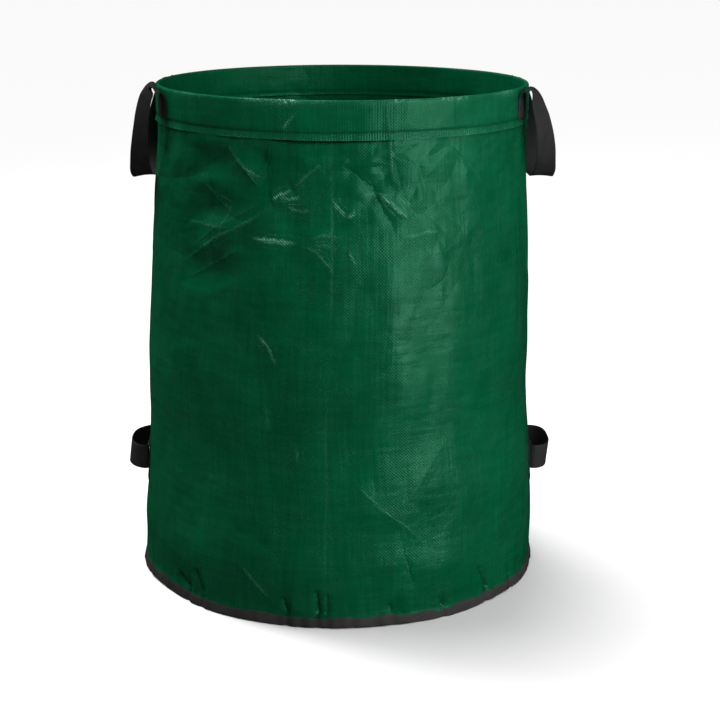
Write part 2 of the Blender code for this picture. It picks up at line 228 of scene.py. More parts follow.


# Creases of the wall: (degrees round from the front, height) along each, how far it stands
# out or in (mm), how wide it runs out (mm) and how pale its line is: worn, and partly a painted highlight
creaseRows = (
    (((-2.6, .744), (-2.3, .66), (-2.2, .556), (-2.4, .435)), -0.9, 15, 0.2),
    (((-2.4, .435), (-3.2, .28), (-3.8, .155), (-3, .043), (-3, .01)), -0.6, 12, 0.1),
    (((-6, .711), (-10, .692), (-14, .672)), 2.6, 15, 0.5),
    (((-14, .672), (-17, .664), (-20, .656)), 3.0, 15, 1.9),
    (((-18, .661), (-15, .658), (-11, .661)), 1.0, 7, 0.9),
    (((-19, .659), (-30, .630), (-42, .593), (-51, .560)), 2.0, 26, 0.1),
    (((0, .709), (4, .696), (9, .676), (11, .651), (14, .625), (15, .610)), -3.8, 13, 0.1),
    (((10, .670), (15, .646), (20, .624)), 2.0, 13, 1.3),
    (((15, .665), (18, .652), (21, .644)), 1.2, 11, 0.5),
    (((-3, .663), (-1, .647), (2, .630)), 1.2, 9, 1.2),
    (((2, .630), (4, .641)), 0.9, 7, 1.2),
    # the palest crease line: a painted highlight along the fold
    (((-26, .598), (-19, .596), (-12, .592)), 1.2, 10, 2.4),
    (((-24, .5945), (-18, .593), (-13, .589)), -0.5, 6, 1.2),
    (((-12, .592), (-7, .582), (-3, .559), (-2, .541)), 1.2, 14, 0.4),
    (((16, .603), (21, .602), (25, .607), (29, .605)), 1.0, 9, 0.8),
    (((2, .586), (3, .574), (4, .560)), 0.9, 8, 0.5),
    (((-32, .711), (-27, .695), (-22, .685)), 1.7, 14, 0.5),
    (((-39, .656), (-35, .650), (-31, .642)), 1.5, 13, 0.3),
    (((-13, .785), (-15, .772), (-17, .757)), 0.8, 8, 0.8),
    (((12, .800), (13, .763), (14, .716), (15, .672)), 1.3, 14, 0.5),
    (((-20, .738), (-22, .700), (-21, .668)), -2.2, 16, 0.0),
    (((-35, .733), (-31, .712), (-26, .685), (-24, .672)), 4.2, 11, 0.3),
    (((-53, .608), (-42, .607), (-30, .609)), 1.6, 7, 0.2),
    (((-52, .545), (-38, .590), (-25, .625), (-18, .655)), 3.2, 10, 0.3),
    (((-50, .520), (-39, .552), (-27, .585)), 2.8, 10, 0.1),
    (((-46, .680), (-39, .650), (-30, .622)), 1.8, 10, 0.2),
    (((-9, .600), (-5, .606), (1, .604)), 0.8, 5, 0.4),
    (((-9, .590), (-4, .592), (0, .586)), -0.8, 5, 0.3),
    (((5, .662), (9, .668), (13, .664)), 0.9, 5, 0.5),
    (((-16, .648), (-12, .640), (-8, .641)), 0.8, 5, 0.5),
    (((-44, .70), (-40, .655), (-43, .62)), -1.8, 20, 0.0),
    (((-48, .565), (-38, .570), (-27, .598)), -1.6, 14, 0.1),
    (((-24, .455), (-20, .435), (-17, .405)), 0.9, 12, 0.8),
    (((68, .643), (64, .583), (65, .518), (66, .40)), -2.0, 16, 0.1),
    (((50, .70), (53, .62), (51, .53)), 1.2, 16, 0.0),
    (((33, .57), (30, .535), (24, .515)), -0.9, 14, 0.0),
    (((3, .241), (6, .218), (11, .188), (15, .170), (19, .152), (23, .127)), 1.4, 16, 0.2),
    (((33, .293), (28, .260), (21, .211), (14, .171), (11, .138)), 0.9, 18, 0.1),
    (((16, .159), (19, .102), (21, .051)), -1.2, 16, 0.0),
    (((-28, .093), (-23, .065), (-18, .036)), 1.2, 11, 0.4),
    (((-15, .046), (-14, .016)), -3.4, 4, 0.0),
    (((-12, .040), (-13, .016)), 1.4, 5, 0.0),
    (((-6, .062), (-5, .016)), -3.8, 4, 0.0),
    (((-3, .055), (-3, .016)), -3.0, 3.5, 0.0),
    (((-52, .040), (-47, .018)), -4.2, 5, 0.0),
    (((-44, .060), (-41, .020)), -3.8, 6, 0.0),
    (((14, .034), (15, .016)), -2.2, 4, 0.0),
    (((28, .038), (30, .016)), -2.0, 5, 0.0),
    (((42, .066), (47, .018)), -3.4, 6, 0.0),
    (((56, .050), (58, .018)), -2.4, 5, 0.0),
)
wallCreases = [dict(zip(("path", "rise", "spread", "wearAndSheen"), row)) for row in creaseRows]


# Shallow dents where the cloth hangs slack: place and half size (degrees, height), depth (mm)
# and how far the dent is turned
dentRows = (
    ((-39, .702), (9, .033), 2.6, -0.30),
    ((-41, .634), (10, .037), 3.0, 0.35),
    ((-44, .542), (10, .040), 2.4, -0.25),
    ((-25, .690), (7, .036), 2.2, 0.7),
    ((-14, .628), (6, .022), 3.4, -0.4),
    ((12, .690), (6, .026), 3.6, 0.9),
    ((-6, .505), (9, .020), 1.6, 0.15),
    ((38, .560), (8, .040), 2.4, 0.5),
    ((62, .700), (7, .030), 2.6, 0.3),
    ((-46, .565), (17, .165), 6.5, 0.12),
    ((-24, .690), (10, .052), 3.4, -0.5),
    ((-30, .640), (12, .040), 2.4, 0.7),
    ((4, .640), (12, .062), 3.0, 0.25),
    ((-13, .560), (12, .040), 2.0, -0.2),
    ((24, .655), (9, .050), 1.2, 0.3),
    ((5, .120), (15, .062), 2.8, -0.35),
    ((29, .150), (12, .070), 2.2, 0.3),
    ((-24, .215), (16, .110), 3.0, 0.4),
    ((-60, .300), (14, .120), 3.0, 0.1),
    ((50, .350), (13, .150), 3.2, -0.1),
    ((56, .620), (10, .080), 2.6, 0.2),
    ((-8, .350), (18, .090), 1.8, 0.2),
    ((96, .500), (18, .130), 4.0, 0.2),
    ((135, .620), (15, .090), 4.5, -0.5),
    ((165, .380), (22, .140), 5.0, 0.5),
    ((-165, .610), (14, .080), 3.5, 0.3),
    ((-130, .430), (20, .170), 5.5, -0.2),
    ((-100, .620), (14, .090), 3.2, 0.4),
    ((140, .160), (16, .080), 3.2, -0.4),
    ((-150, .150), (18, .070), 3.4, 0.2),
)
wallDents = [dict(zip(("at", "half", "depth", "turn"), row)) for row in dentRows]


# Flat-sided folds: corners (degrees, height), their deepest point and its depth (mm)
facetRows = (
    (((-51, .727), (-32, .738), (-30, .712), (-35, .681), (-52, .672)), (-41, .703), 8.0),
    (((-54, .621), (-49, .660), (-40, .679), (-27, .648), (-28, .619), (-53, .598)), (-41, .636), 9.5),
    (((-53, .566), (-32, .584), (-29, .534), (-41, .503), (-55, .507)), (-43, .535), 9.0),
    (((-30, .738), (-21, .741), (-21, .703), (-25, .694)), (-23, .716), 4.5),
    (((-67, .467), (-46, .496), (-43, .421), (-59, .395)), (-52, .438), 3.2),
    (((20, .738), (31, .735), (33, .662), (24, .648)), (23, .690), 3.0),
    (((118, .700), (142, .716), (150, .640), (125, .622)), (138, .650), 7.0),
    (((-168, .560), (-146, .575), (-140, .500), (-160, .480)), (-150, .510), 6.0),
    (((160, .720), (178, .725), (176, .670), (163, .660)), (170, .680), 5.0),
)
wallFacets = [dict(zip(("edge", "deepest", "depth"), row)) for row in facetRows]


def softlyAbove(share, sharpness):
    # the share where it is above nought, and nought elsewhere, with a rounded bend between
    return np.logaddexp(0, share * sharpness) / sharpness


def facetsIn(angle, height):
    # depth of the flat-sided folds, metres: each face runs straight from one edge to the deepest point
    total = np.zeros_like(angle)
    for facet in wallFacets:
        corners = [(math.radians(turn), up) for turn, up in facet["edge"]]
        deepest = (math.radians(facet["deepest"][0]), facet["deepest"][1])
        share = np.full_like(angle, farOff)
        for (x0, y0), (x1, y1) in zip(corners, corners[1:] + corners[:1]):
            inside = (x1 - x0) * (height - y0) - (y1 - y0) * (angle - x0)
            atDeepest = (x1 - x0) * (deepest[1] - y0) - (y1 - y0) * (deepest[0] - x0)
            share = np.minimum(share, inside / atDeepest)
        total += facet["depth"] * mm * softlyAbove(share, 22)
    return total


def dentsIn(angle, height):
    # depth of all the dents, metres; each is a bowl with a rim that shows as a bend in the cloth
    total = np.zeros_like(angle)
    for dent in wallDents:
        x = oneTurn(angle - math.radians(dent["at"][0])) * bagSkin["meanRadius"]
        y = height - dent["at"][1]
        cosine, sine = math.cos(dent["turn"]), math.sin(dent["turn"])
        wide = math.radians(dent["half"][0]) * bagSkin["meanRadius"]
        across = (x * cosine + y * sine) / wide
        up = (y * cosine - x * sine) / dent["half"][1]
        bearing = np.arctan2(up, across)
        wobble = 1 + 0.13 * np.sin(3 * bearing + dent["at"][0])
        wobble = wobble + 0.07 * np.sin(5 * bearing + dent["at"][1] * 40)
        reach = 1 - (across ** 2 + up ** 2) / wobble ** 2
        total += dent["depth"] * mm * softlyAbove(reach, 9)
    return total


def creaseReach(angle, height, crease):
    # distance to the crease's line, how far along it the nearest point is, 0 to 1, and on which side
    x = angle * bagSkin["meanRadius"]
    path = [(math.radians(turn) * bagSkin["meanRadius"], up) for turn, up in crease["path"]]
    lengths = [math.dist(a, b) for a, b in zip(path, path[1:])]
    nearest = np.full_like(x, farOff)
    along = np.zeros_like(x)
    side = np.ones_like(x)
    before = 0.0
    for (x0, y0), (x1, y1), length in zip(path, path[1:], lengths):
        share = np.clip(((x - x0) * (x1 - x0) + (height - y0) * (y1 - y0)) / length ** 2, 0, 1)
        gap = np.hypot(x - x0 - share * (x1 - x0), height - y0 - share * (y1 - y0))
        closer = gap < nearest
        nearest = np.where(closer, gap, nearest)
        along = np.where(closer, (before + share * length) / sum(lengths), along)
        turned = (x1 - x0) * (height - y0) - (y1 - y0) * (x - x0)
        side = np.where(closer, np.where(turned < 0, -1.0, 1.0), side)
        before += length
    return nearest, along, side


def scatterCreases(seed, count):
    # short handling creases all round the bag, seeded
    dice = np.random.default_rng(seed)
    scattered = []
    for _ in range(count):
        turn, height = dice.uniform(-180, 180), dice.uniform(0.05, 0.735)
        length, lean = dice.uniform(0.012, 0.075), dice.normal(0, 0.75)
        bend = dice.normal(0, 0.25)
        path = [(turn, height)]
        for _ in range(2):
            turn += math.degrees(length / 2 * math.sin(lean) / bagSkin["meanRadius"])
            height += length / 2 * math.cos(lean)
            lean += bend
            path.append((turn, min(height, 0.742)))
        scattered.append({"path": tuple(path), "rise": dice.choice((-1, 1)) * dice.uniform(0.15, 0.7),
                          "spread": dice.uniform(7, 18), "wearAndSheen": max(dice.uniform(-0.6, 0.3), 0)})
    return scattered


placedCreases = list(wallCreases)
wallCreases += scatterCreases(7, 90)


def creaseLines(angle, height):
    # for the material: distance to the nearest crease with its side (mm), its depth and its pale line, worn
    # and partly a painted highlight
    wrapped = oneTurn(angle)
    nearest = np.full_like(angle, farOff)
    line, depth, wearAndSheen = np.zeros_like(angle), np.zeros_like(angle), np.zeros_like(angle)
    for crease in wallCreases:
        gap, along, side = creaseReach(wrapped, height, crease)
        ends = np.minimum(fade(along, 0.0, 0.35), fade(along, 1.0, 0.65))
        closer = (gap < nearest) & (gap < 9 * mm)
        nearest = np.where(closer, gap, nearest)
        line = np.where(closer, gap * side / mm, line)
        depth = np.where(closer, crease["rise"] * 0.55 * ends, depth)
        wearAndSheen = np.where(closer, crease["wearAndSheen"] * ends, wearAndSheen)
    return line, depth, wearAndSheen


# Waves of the wall, the hem, the tape and the base. Each has a rise in metres, or 1 where its own code
# scales it, a seed, how many waves it is made of, how often they go round, and how steeply they climb
clothWaves = {
    "slow": (0.0013, 3, 6, (3, 8), (4, 14)),
    "middling": (0.0011, 11, 7, (9, 22), (3, 26)),
    "fine": (0.00028, 17, 8, (22, 60), (8, 90)),
    "gathers": (0.0005, 23, 6, (40, 90), (0, 6)),
    "puckers": (0.0014, 29, 7, (50, 120), (0, 8)),
    "footOut": (0.0016, 41, 5, (3, 11), (0, 0)),
    "footLift": (1, 43, 5, (4, 13), (0, 0)),
    "hemSlow": (1, 47, 5, (5, 15), (0, 0)),
    "hemCrinkle": (0.00022, 53, 8, (20, 70), (0, 60)),
    "hemRub": (1, 59, 5, (3, 16), (0, 0)),
    "mound": (1, 61, 7, (1, 9), (-2, 2)),
    "ridges": (1, 67, 5, (9, 30), (-3, 3)),
    "tapeTuck": (0.0006, 71, 8, (30, 110), (0, 40)),
    "tapeSway": (0.0016, 73, 6, (7, 34), (0, 0)),
}
# the right tipping strap pulls the wall in a little
strapPull = {"turn": 90, "wide": 0.16, "height": 0.19, "tall": 0.028, "depth": 0.0030}


def wavesOf(name, angle, height):
    rise, *draws = clothWaves[name]
    return rise * foldWaves(angle, height, *draws)


def wallRelief(angle, height):
    # how far the cloth stands off the plain skin, in metres
    wrapped = oneTurn(angle)
    relief = sum(wavesOf(name, angle, height) for name in ("slow", "middling", "fine"))
    relief *= fade(height, 0.765, 0.700) * fade(height, 0.0, 0.09) * 0.85 + 0.15
    underHem = np.exp(-np.abs(height - bagSkin["hemEdge"]) / 0.018) * (height < bagSkin["hemEdge"])
    relief += wavesOf("gathers", angle, height) * underHem
    relief += wavesOf("puckers", angle, height) * np.exp(-np.maximum(height - 0.0145, 0) / 0.020)
    for crease in wallCreases:
        gap, along = creaseReach(wrapped, height, crease)[:2]
        ends = np.minimum(fade(along, -0.02, 0.15), fade(along, 1.02, 0.85)) * 0.9 + 0.1
        relief += crease["rise"] * mm * np.exp(-gap / (crease["spread"] * mm)) * ends
    relief -= dentsIn(wrapped, height) * fade(height, 0.745, 0.715) + facetsIn(wrapped, height)
    pulled = ((wrapped - math.radians(strapPull["turn"])) / strapPull["wide"]) ** 2
    pulled = pulled + ((height - strapPull["height"]) / strapPull["tall"]) ** 2
    relief -= strapPull["depth"] * np.exp(-0.5 * pulled)
    bound = fade(height, 0.0135, 0.0260)
    return relief * bound


# Where the foot is pinched in at its seam: degrees round from the front, and depth (mm)
footPinches = ((-47, 2.6), (-41, 1.8), (-14, 1.8), (-5.5, 2.2), (-3, 1.6), (15, 1.2), (30, 1.8), (46, 2.6),
               (58, 1.6), (80, 1.5), (104, 1.8), (127, 1.4), (150, 2.0), (175, 1.5), (-160, 1.9), (-138, 1.5),
               (-112, 1.8), (-88, 1.4), (-70, 1.6))


def footWave(angle):
    # the bound foot lies in slow waves: how far it goes out, and how far it lifts
    level = angle * 0
    out = wavesOf("footOut", angle, level)
    for middle, depth in footPinches:
        away = apart(np.degrees(angle), middle)
        out = out - depth * mm * np.exp(-away ** 2)
        out = out + 0.4 * depth * mm * np.exp(-((away - 2.2) / 1.6) ** 2)
    lift = 0.0012 * (1.2 + wavesOf("footLift", angle, level))
    return out, np.clip(lift, 0, 0.004)


def skinPlace(angle, height, off=0.0):
    # a point of the cloth's outer face, with anything on it set off by so much
    below = np.maximum(bagSkin["foot"] - height, 0)
    out, lift = footWave(angle)
    near = fade(height, 0.075, 0.010)
    radius = np.interp(height, skinHeights, skinRadii) + off + wallRelief(angle, height)
    radius = radius + below * bagSkin["splay"] + out * near
    return roundPlace(angle, radius, height + lift * near, np.interp(height, skinHeights, skinLean))


# Shader groups shared by the materials

def newGroup(name, numbers, outputs):
    # a group that reads a place, as Vector, and named numbers, and puts out values
    group = bpy.data.node_groups.new(name, "ShaderNodeTree")
    group.interface.new_socket(name="Vector", in_out="INPUT", socket_type="NodeSocketVector")
    for label, value in numbers.items():
        socket = group.interface.new_socket(name=label, in_out="INPUT", socket_type="NodeSocketFloat")
        socket.default_value = value
    for label in outputs:
        group.interface.new_socket(name=label, in_out="OUTPUT", socket_type="NodeSocketFloat")
    return group, group.nodes.new("NodeGroupInput").outputs, group.nodes.new("NodeGroupOutput").inputs


def feedNode(tree, node, feeds):
    # feeds pairs an input's name or number with a socket or a value
    for key, value in feeds:
        if isinstance(value, bpy.types.NodeSocket):
            tree.links.new(value, node.inputs[key])
        else:
            node.inputs[key].default_value = value
    return node


def addNode(tree, kind, feeds=(), **settings):
    node = tree.nodes.new("ShaderNode" + kind)
    for name, value in settings.items():
        setattr(node, name, value)
    return feedNode(tree, node, feeds)


def addGroup(tree, group, feeds):
    node = tree.nodes.new("ShaderNodeGroup")
    node.node_tree = group
    return feedNode(tree, node, feeds).outputs


def maths(tree, operation, first, second=0.0, clamp=False):
    return addNode(tree, "Math", ((0, first), (1, second)), operation=operation, use_clamp=clamp).outputs[0]


def times(tree, first, *others):
    for value in others:
        first = maths(tree, "MULTIPLY", first, value)
    return first


def blendColours(tree, share, first, second, kind="MIX"):
    node = addNode(tree, "Mix", (("Factor", share), (6, first), (7, second)),
                   data_type="RGBA", blend_type=kind)
    return node.outputs[2]


def rangeOf(tree, value, low, high, newLow=0.0, newHigh=1.0):
    return addNode(tree, "MapRange", ((0, value), (1, low), (2, high), (3, newLow), (4, newHigh))).outputs[0]


def noiseAt(tree, place, scale, detail, roughness=0.5):
    feeds = (("Vector", place), ("Scale", scale), ("Detail", detail), ("Roughness", roughness))
    return addNode(tree, "TexNoise", feeds).outputs


def cellsAt(tree, place, scale):
    # distance to the edge of the cell that a place is in
    feeds = (("Vector", place), ("Scale", scale))
    return addNode(tree, "TexVoronoi", feeds, feature="DISTANCE_TO_EDGE").outputs["Distance"]


def warpedPlace(tree, place, scale, detail, amount):
    warp = noiseAt(tree, place, scale, detail)["Color"]
    moved = addNode(tree, "VectorMath", ((0, warp), (3, amount)), operation="SCALE").outputs[0]
    return addNode(tree, "VectorMath", ((0, place), (1, moved)), operation="ADD").outputs[0]


def partsOf(tree, place):
    return addNode(tree, "SeparateXYZ", ((0, place),)).outputs


def makeWovenTape():
    # plain weave of flat tapes: a checker of raised crossings with a line between the tapes
    group, feed, out = newGroup("wovenTape", {"Pitch": 0.0025}, ("Height", "Twill"))
    turns = maths(group, "DIVIDE", math.pi, feed["Pitch"])
    parts = partsOf(group, feed["Vector"])
    across, up = times(group, parts[0], turns), times(group, parts[1], turns)
    checker = times(group, maths(group, "SINE", across), maths(group, "SINE", up))
    slanted = maths(group, "SINE", maths(group, "ADD", across, up))
    group.links.new(rangeOf(group, checker, -1.0, 1.0), out["Height"])
    group.links.new(rangeOf(group, slanted, -1.0, 1.0), out["Twill"])
    return group


def makeCreaseNet():
    # fine handling creases: the ridges between the cells of a warped noise
    group, feed, out = newGroup("creaseNet", {"Scale": 20.0, "Sharpness": 8.0}, ("Ridge",))
    place = warpedPlace(group, feed["Vector"], feed["Scale"], 1.0, 0.045)
    falling = times(group, cellsAt(group, place, feed["Scale"]), feed["Sharpness"])
    ridge = maths(group, "SUBTRACT", 1.0, falling, clamp=True)
    group.links.new(maths(group, "POWER", ridge, 2.0), out["Ridge"])
    return group


def makeScuffs():
    # small pale rubbed specks, in drawn-out patches
    group, feed, out = newGroup("scuffs", {"Grain": 420.0, "Patches": 22.0, "Amount": 0.5}, ("Mask",))
    specks = noiseAt(group, feed["Vector"], feed["Grain"], 2.0, 0.6)["Fac"]
    patches = noiseAt(group, feed["Vector"], feed["Patches"], 3.0)["Fac"]
    bare = maths(group, "SUBTRACT", 1.0, feed["Amount"])
    zone = maths(group, "SUBTRACT", patches, times(group, bare, 0.62))
    zone = maths(group, "MULTIPLY", zone, 5.0, clamp=True)
    dots = rangeOf(group, specks, 0.50, 0.66)
    group.links.new(maths(group, "MULTIPLY", dots, zone, clamp=True), out["Mask"])
    return group


def makeWebbingWeave():
    # narrow ribs along the webbing, crossed by the weft
    group, feed, out = newGroup("webbingWeave", {"Rib": 0.0016, "Weft": 0.0011}, ("Height",))
    parts = partsOf(group, feed["Vector"])
    ribs = maths(group, "SINE", times(group, parts[1], maths(group, "DIVIDE", math.pi, feed["Rib"])))
    wefts = times(group, parts[0], maths(group, "DIVIDE", math.pi, feed["Weft"]))
    chevron = maths(group, "SINE", maths(group, "ADD", wefts, times(group, ribs, 1.4)))
    both = maths(group, "ADD", times(group, chevron, 0.35), maths(group, "ABSOLUTE", ribs))
    group.links.new(rangeOf(group, both, -0.35, 1.35), out["Height"])
    return group


def makeCrumple():
    # shallow facets of handled cloth: warped cells that meet in soft valleys, in patches
    group, feed, out = newGroup("crumple", {"Scale": 8.0}, ("Height",))
    place = warpedPlace(group, feed["Vector"], 6.0, 2.0, 0.11)
    large = cellsAt(group, place, feed["Scale"])
    small = cellsAt(group, place, times(group, feed["Scale"], 2.6))
    zone = rangeOf(group, noiseAt(group, feed["Vector"], 4.5, 1.0)["Fac"], 0.38, 0.66, 0.15, 1.0)
    both = maths(group, "ADD", large, times(group, small, 0.34))
    group.links.new(times(group, both, zone), out["Height"])
    return group


def makeFineRipples():
    # drawn-out ripples of the coating, along and across the cloth
    group, feed, out = newGroup("fineRipples", {}, ("Along", "Upright"))
    for name, stretch, turn in (("Along", (16, 95, 1), 0.16), ("Upright", (150, 11, 1), 0.02)):
        feeds = (("Vector", feed["Vector"]), ("Rotation", (0, 0, turn)), ("Scale", stretch))
        placed = addNode(group, "Mapping", feeds).outputs[0]
        group.links.new(noiseAt(group, placed, 1.0, 2.0, 0.45)["Fac"], out[name])
    return group


wovenTape = makeWovenTape()
creaseNet = makeCreaseNet()
scuffs = makeScuffs()
webbingWeave = makeWebbingWeave()
crumple = makeCrumple()
fineRipples = makeFineRipples()


def newMaterial(name, roughness, specular=0.5, metallic=0.0):
    material = bpy.data.materials.new(name)
    material.use_nodes = True
    shader = material.node_tree.nodes["Principled BSDF"]
    shader.inputs["Roughness"].default_value = roughness
    shader.inputs["Specular IOR Level"].default_value = specular
    shader.inputs["Metallic"].default_value = metallic
    return material, material.node_tree, shader


def flatPlace(tree):
    return addNode(tree, "UVMap").outputs[0]


def solidPlace(tree):
    return addNode(tree, "TexCoord").outputs["Object"]


def finishShader(tree, shader, colour, rough, layers):
    # colour and roughness, and bumps one over another: (height, strength, distance in metres)
    tree.links.new(colour, shader.inputs["Base Color"])
    if rough is not None:
        tree.links.new(rough, shader.inputs["Roughness"])
    normal = None
    for height, strength, distance in layers:
        bump = addNode(tree, "Bump", (("Height", height), ("Strength", strength), ("Distance", distance)))
        if normal is not None:
            tree.links.new(normal, bump.inputs["Normal"])
        normal = bump.outputs[0]
    tree.links.new(normal, shader.inputs["Normal"])


# Coated woven fabric: colours are linear
fabricFinish = {
    "deep": (0.0002, 0.050, 0.0185, 1),
    "usual": (0.0002, 0.070, 0.0265, 1),
    # the pale of the worn coating, also the colour of the painted highlights along creases and the flange
    # edge
    "rubbed": (0.22, 0.58, 0.42, 1),
    # near-black green of the painted shade under the hem, in its groove and in the foot's pinches
    "paintedShade": (0.0002, 0.007, 0.0025, 1),
    "tapePitch": 0.0024,
    "roughness": 0.30,
    "gloss": 0.34,
    "glossTint": (0.30, 1.0, 0.62, 1),
    "facets": 0.0135,
}


def lifted(colour, lift):
    return tuple(value * lift for value in colour[:3]) + (1,)


def makeFabric(name, lift=1.0, ribs=0.0, evenRub=0.35, twill=0.32, handled=1.0):
    finish = fabricFinish
    material, tree, shader = newMaterial(name, finish["roughness"], finish["gloss"])
    shader.inputs["Specular Tint"].default_value = finish["glossTint"]
    flat, solid = flatPlace(tree), solidPlace(tree)
    weave = addGroup(tree, wovenTape, (("Vector", flat), ("Pitch", finish["tapePitch"])))
    woven = maths(tree, "ADD", times(tree, weave["Height"], 1 - twill), times(tree, weave["Twill"], twill))
    ripples = addGroup(tree, fineRipples, (("Vector", flat),))
    net = addGroup(tree, creaseNet, (("Vector", solid), ("Scale", 16.0), ("Sharpness", 7.0)))
    rubs = addGroup(tree, scuffs, (("Vector", solid), ("Grain", 520.0), ("Amount", 0.35)))
    line, depth, creaseWearAndSheen, wearAndSheen, paintedDark = [
        addNode(tree, "Attribute", attribute_name=mask).outputs["Fac"]
        for mask in ("creaseLine", "creaseDepth", "creaseWearAndSheen", "wearAndSheen", "paintedShade")]

    # the sharp line of each crease, and the pale line along it: wear, and partly a painted highlight
    crinkle = noiseAt(tree, solid, 150.0, 3.0, 0.6)["Fac"]
    away = maths(tree, "ABSOLUTE", maths(tree, "ADD", line, rangeOf(tree, crinkle, 0.3, 0.7, -2.0, 2.0)))
    folded = times(tree, maths(tree, "POWER", 2.718, times(tree, away, -0.95)), depth)
    fraying = maths(tree, "POWER", rangeOf(tree, away, 5.0, 0.0), 2.0)
    wornAndSheenLine = times(tree, fraying, creaseWearAndSheen)

    # green that goes from deeper to usual in clouds, shaded by the weave and the ripples
    tone = rangeOf(tree, noiseAt(tree, solid, 7.0, 4.0)["Fac"], 0.30, 0.70)
    colour = blendColours(tree, tone, lifted(finish["deep"], lift), lifted(finish["usual"], lift))
    shaded = rangeOf(tree, woven, 0.1, 0.9, 0.87, 1.11)
    for direction in ("Along", "Upright"):
        shaded = times(tree, shaded, rangeOf(tree, ripples[direction], 0.3, 0.7, 0.92, 1.08))
    colour = blendColours(tree, 1.0, colour, shaded, "MULTIPLY")

    # paler where it is rubbed: worn places and lines, curled flakes of the coating and stray specks;
    # the lines and the hem's flange edge also carry painted highlights
    caught = rangeOf(tree, weave["Twill"], 0.35, 0.9, 0.15, 1.0)
    specks = times(tree, rangeOf(tree, rubs["Mask"], 0.0, 1.0, evenRub, 1.0), caught)
    curls = addGroup(tree, creaseNet, (("Vector", solid), ("Scale", 58.0), ("Sharpness", 11.0)))
    patchy = noiseAt(tree, solid, 30.0, 3.0)["Fac"]
    curled = times(tree, curls["Ridge"], rangeOf(tree, wearAndSheen, 0.25, 0.9), rangeOf(tree, patchy, 0.42, 0.60))
    rubbed = maths(tree, "MULTIPLY", maths(tree, "MAXIMUM", wearAndSheen, wornAndSheenLine), specks, clamp=True)
    rubbed = maths(tree, "MAXIMUM", rubbed, curled)
    rubbed = maths(tree, "MAXIMUM", rubbed, times(tree, rubs["Mask"], 0.03))
    colour = blendColours(tree, rubbed, colour, finish["rubbed"])
    # painted shade: darker under the hem's edge, in its groove and in the foot's pinches
    colour = blendColours(tree, paintedDark, colour, finish["paintedShade"])
    rough = rangeOf(tree, patchy, 0.30, 0.70, finish["roughness"] - 0.05, finish["roughness"] + 0.07)
    rough = maths(tree, "ADD", rough, times(tree, rubbed, 0.2))

    raised = times(tree, woven, rangeOf(tree, patchy, 0.35, 0.62, 0.35, 1.0))
    facets = addGroup(tree, crumple, (("Vector", solid), ("Scale", 8.5)))["Height"]
    upper = rangeOf(tree, partsOf(tree, solid)[2], 0.44, 0.64, 0.28, 1.0)
    layers = [(times(tree, facets, upper, handled), 1.0, finish["facets"]), (net["Ridge"], 0.10, 0.0010),
              (ripples["Along"], 0.3, 0.0021), (ripples["Upright"], 0.32, 0.0018), (folded, 0.8, 0.0009),
              (raised, 0.55, 0.0006)]
    if ribs:
        # upright ribs on the band below the hem's stitches
        parts = partsOf(tree, flat)
        rib = maths(tree, "SINE", times(tree, parts[0], 2 * math.pi / ribs))
        below = rangeOf(tree, parts[1], 0.0102, 0.0090, 0.28, 1.0)
        layers.append((times(tree, rib, below), 0.35, 0.0005))
    finishShader(tree, shader, colour, rough, layers)
    return material


def makeWebbingMaterial():
    material, tree, shader = newMaterial("strapWebbing", 0.72, 0.35)
    flat, solid = flatPlace(tree), solidPlace(tree)
    weave = addGroup(tree, webbingWeave, (("Vector", flat),))["Height"]
    cloudy = noiseAt(tree, solid, 60.0, 3.0)["Fac"]
    colour = blendColours(tree, weave, (0.0048, 0.0048, 0.0050, 1), (0.0195, 0.0192, 0.0200, 1))
    shaded = rangeOf(tree, cloudy, 0.35, 0.75, 0.0, 0.35)
    colour = blendColours(tree, shaded, colour, (0.025, 0.0245, 0.025, 1))
    finishShader(tree, shader, colour, rangeOf(tree, cloudy, 0.3, 0.7, 0.62, 0.80), [(weave, 0.7, 0.0004)])
    return material


def makeTapeMaterial():
    material, tree, shader = newMaterial("bindingTape", 0.70, 0.35)
    flat, solid = flatPlace(tree), solidPlace(tree)
    weave = addGroup(tree, webbingWeave, (("Vector", flat), ("Rib", 0.0011), ("Weft", 0.0009)))["Height"]
    cloudy = noiseAt(tree, solid, 24.0, 4.0)["Fac"]
    colour = blendColours(tree, cloudy, (0.009, 0.0085, 0.0087, 1), (0.042, 0.0385, 0.0385, 1))
    colour = blendColours(tree, rangeOf(tree, weave, 0.0, 1.0, 0.35, 0.0), colour, (0.004, 0.0038, 0.0038, 1))
    finishShader(tree, shader, colour, rangeOf(tree, cloudy, 0.3, 0.7, 0.60, 0.78), [(weave, 0.6, 0.0003)])
    return material


def makeThreadMaterial(name, colour):
    material, tree, shader = newMaterial(name, 0.55, 0.4)
    twist = noiseAt(tree, solidPlace(tree), 900.0, 1.0)["Fac"]
    mixed = blendColours(tree, rangeOf(tree, twist, 0.35, 0.65), lifted(colour, 0.55), colour)
    finishShader(tree, shader, mixed, None, [(twist, 0.4, 0.0002)])
    return material


def makeHoopMaterial():
    material, tree, shader = newMaterial("hoopPlastic", 0.48)
    solid = solidPlace(tree)
    streaks = noiseAt(tree, solid, 55.0, 5.0)["Fac"]
    scratches = addGroup(tree, creaseNet, (("Vector", solid), ("Scale", 70.0), ("Sharpness", 14.0)))["Ridge"]
    colour = blendColours(tree, streaks, (0.46, 0.47, 0.43, 1), (0.64, 0.65, 0.61, 1))
    finishShader(tree, shader, colour, rangeOf(tree, streaks, 0.3, 0.7, 0.38, 0.58),
                 [(streaks, 0.2, 0.0004), (scratches, 0.15, 0.0001)])
    return material


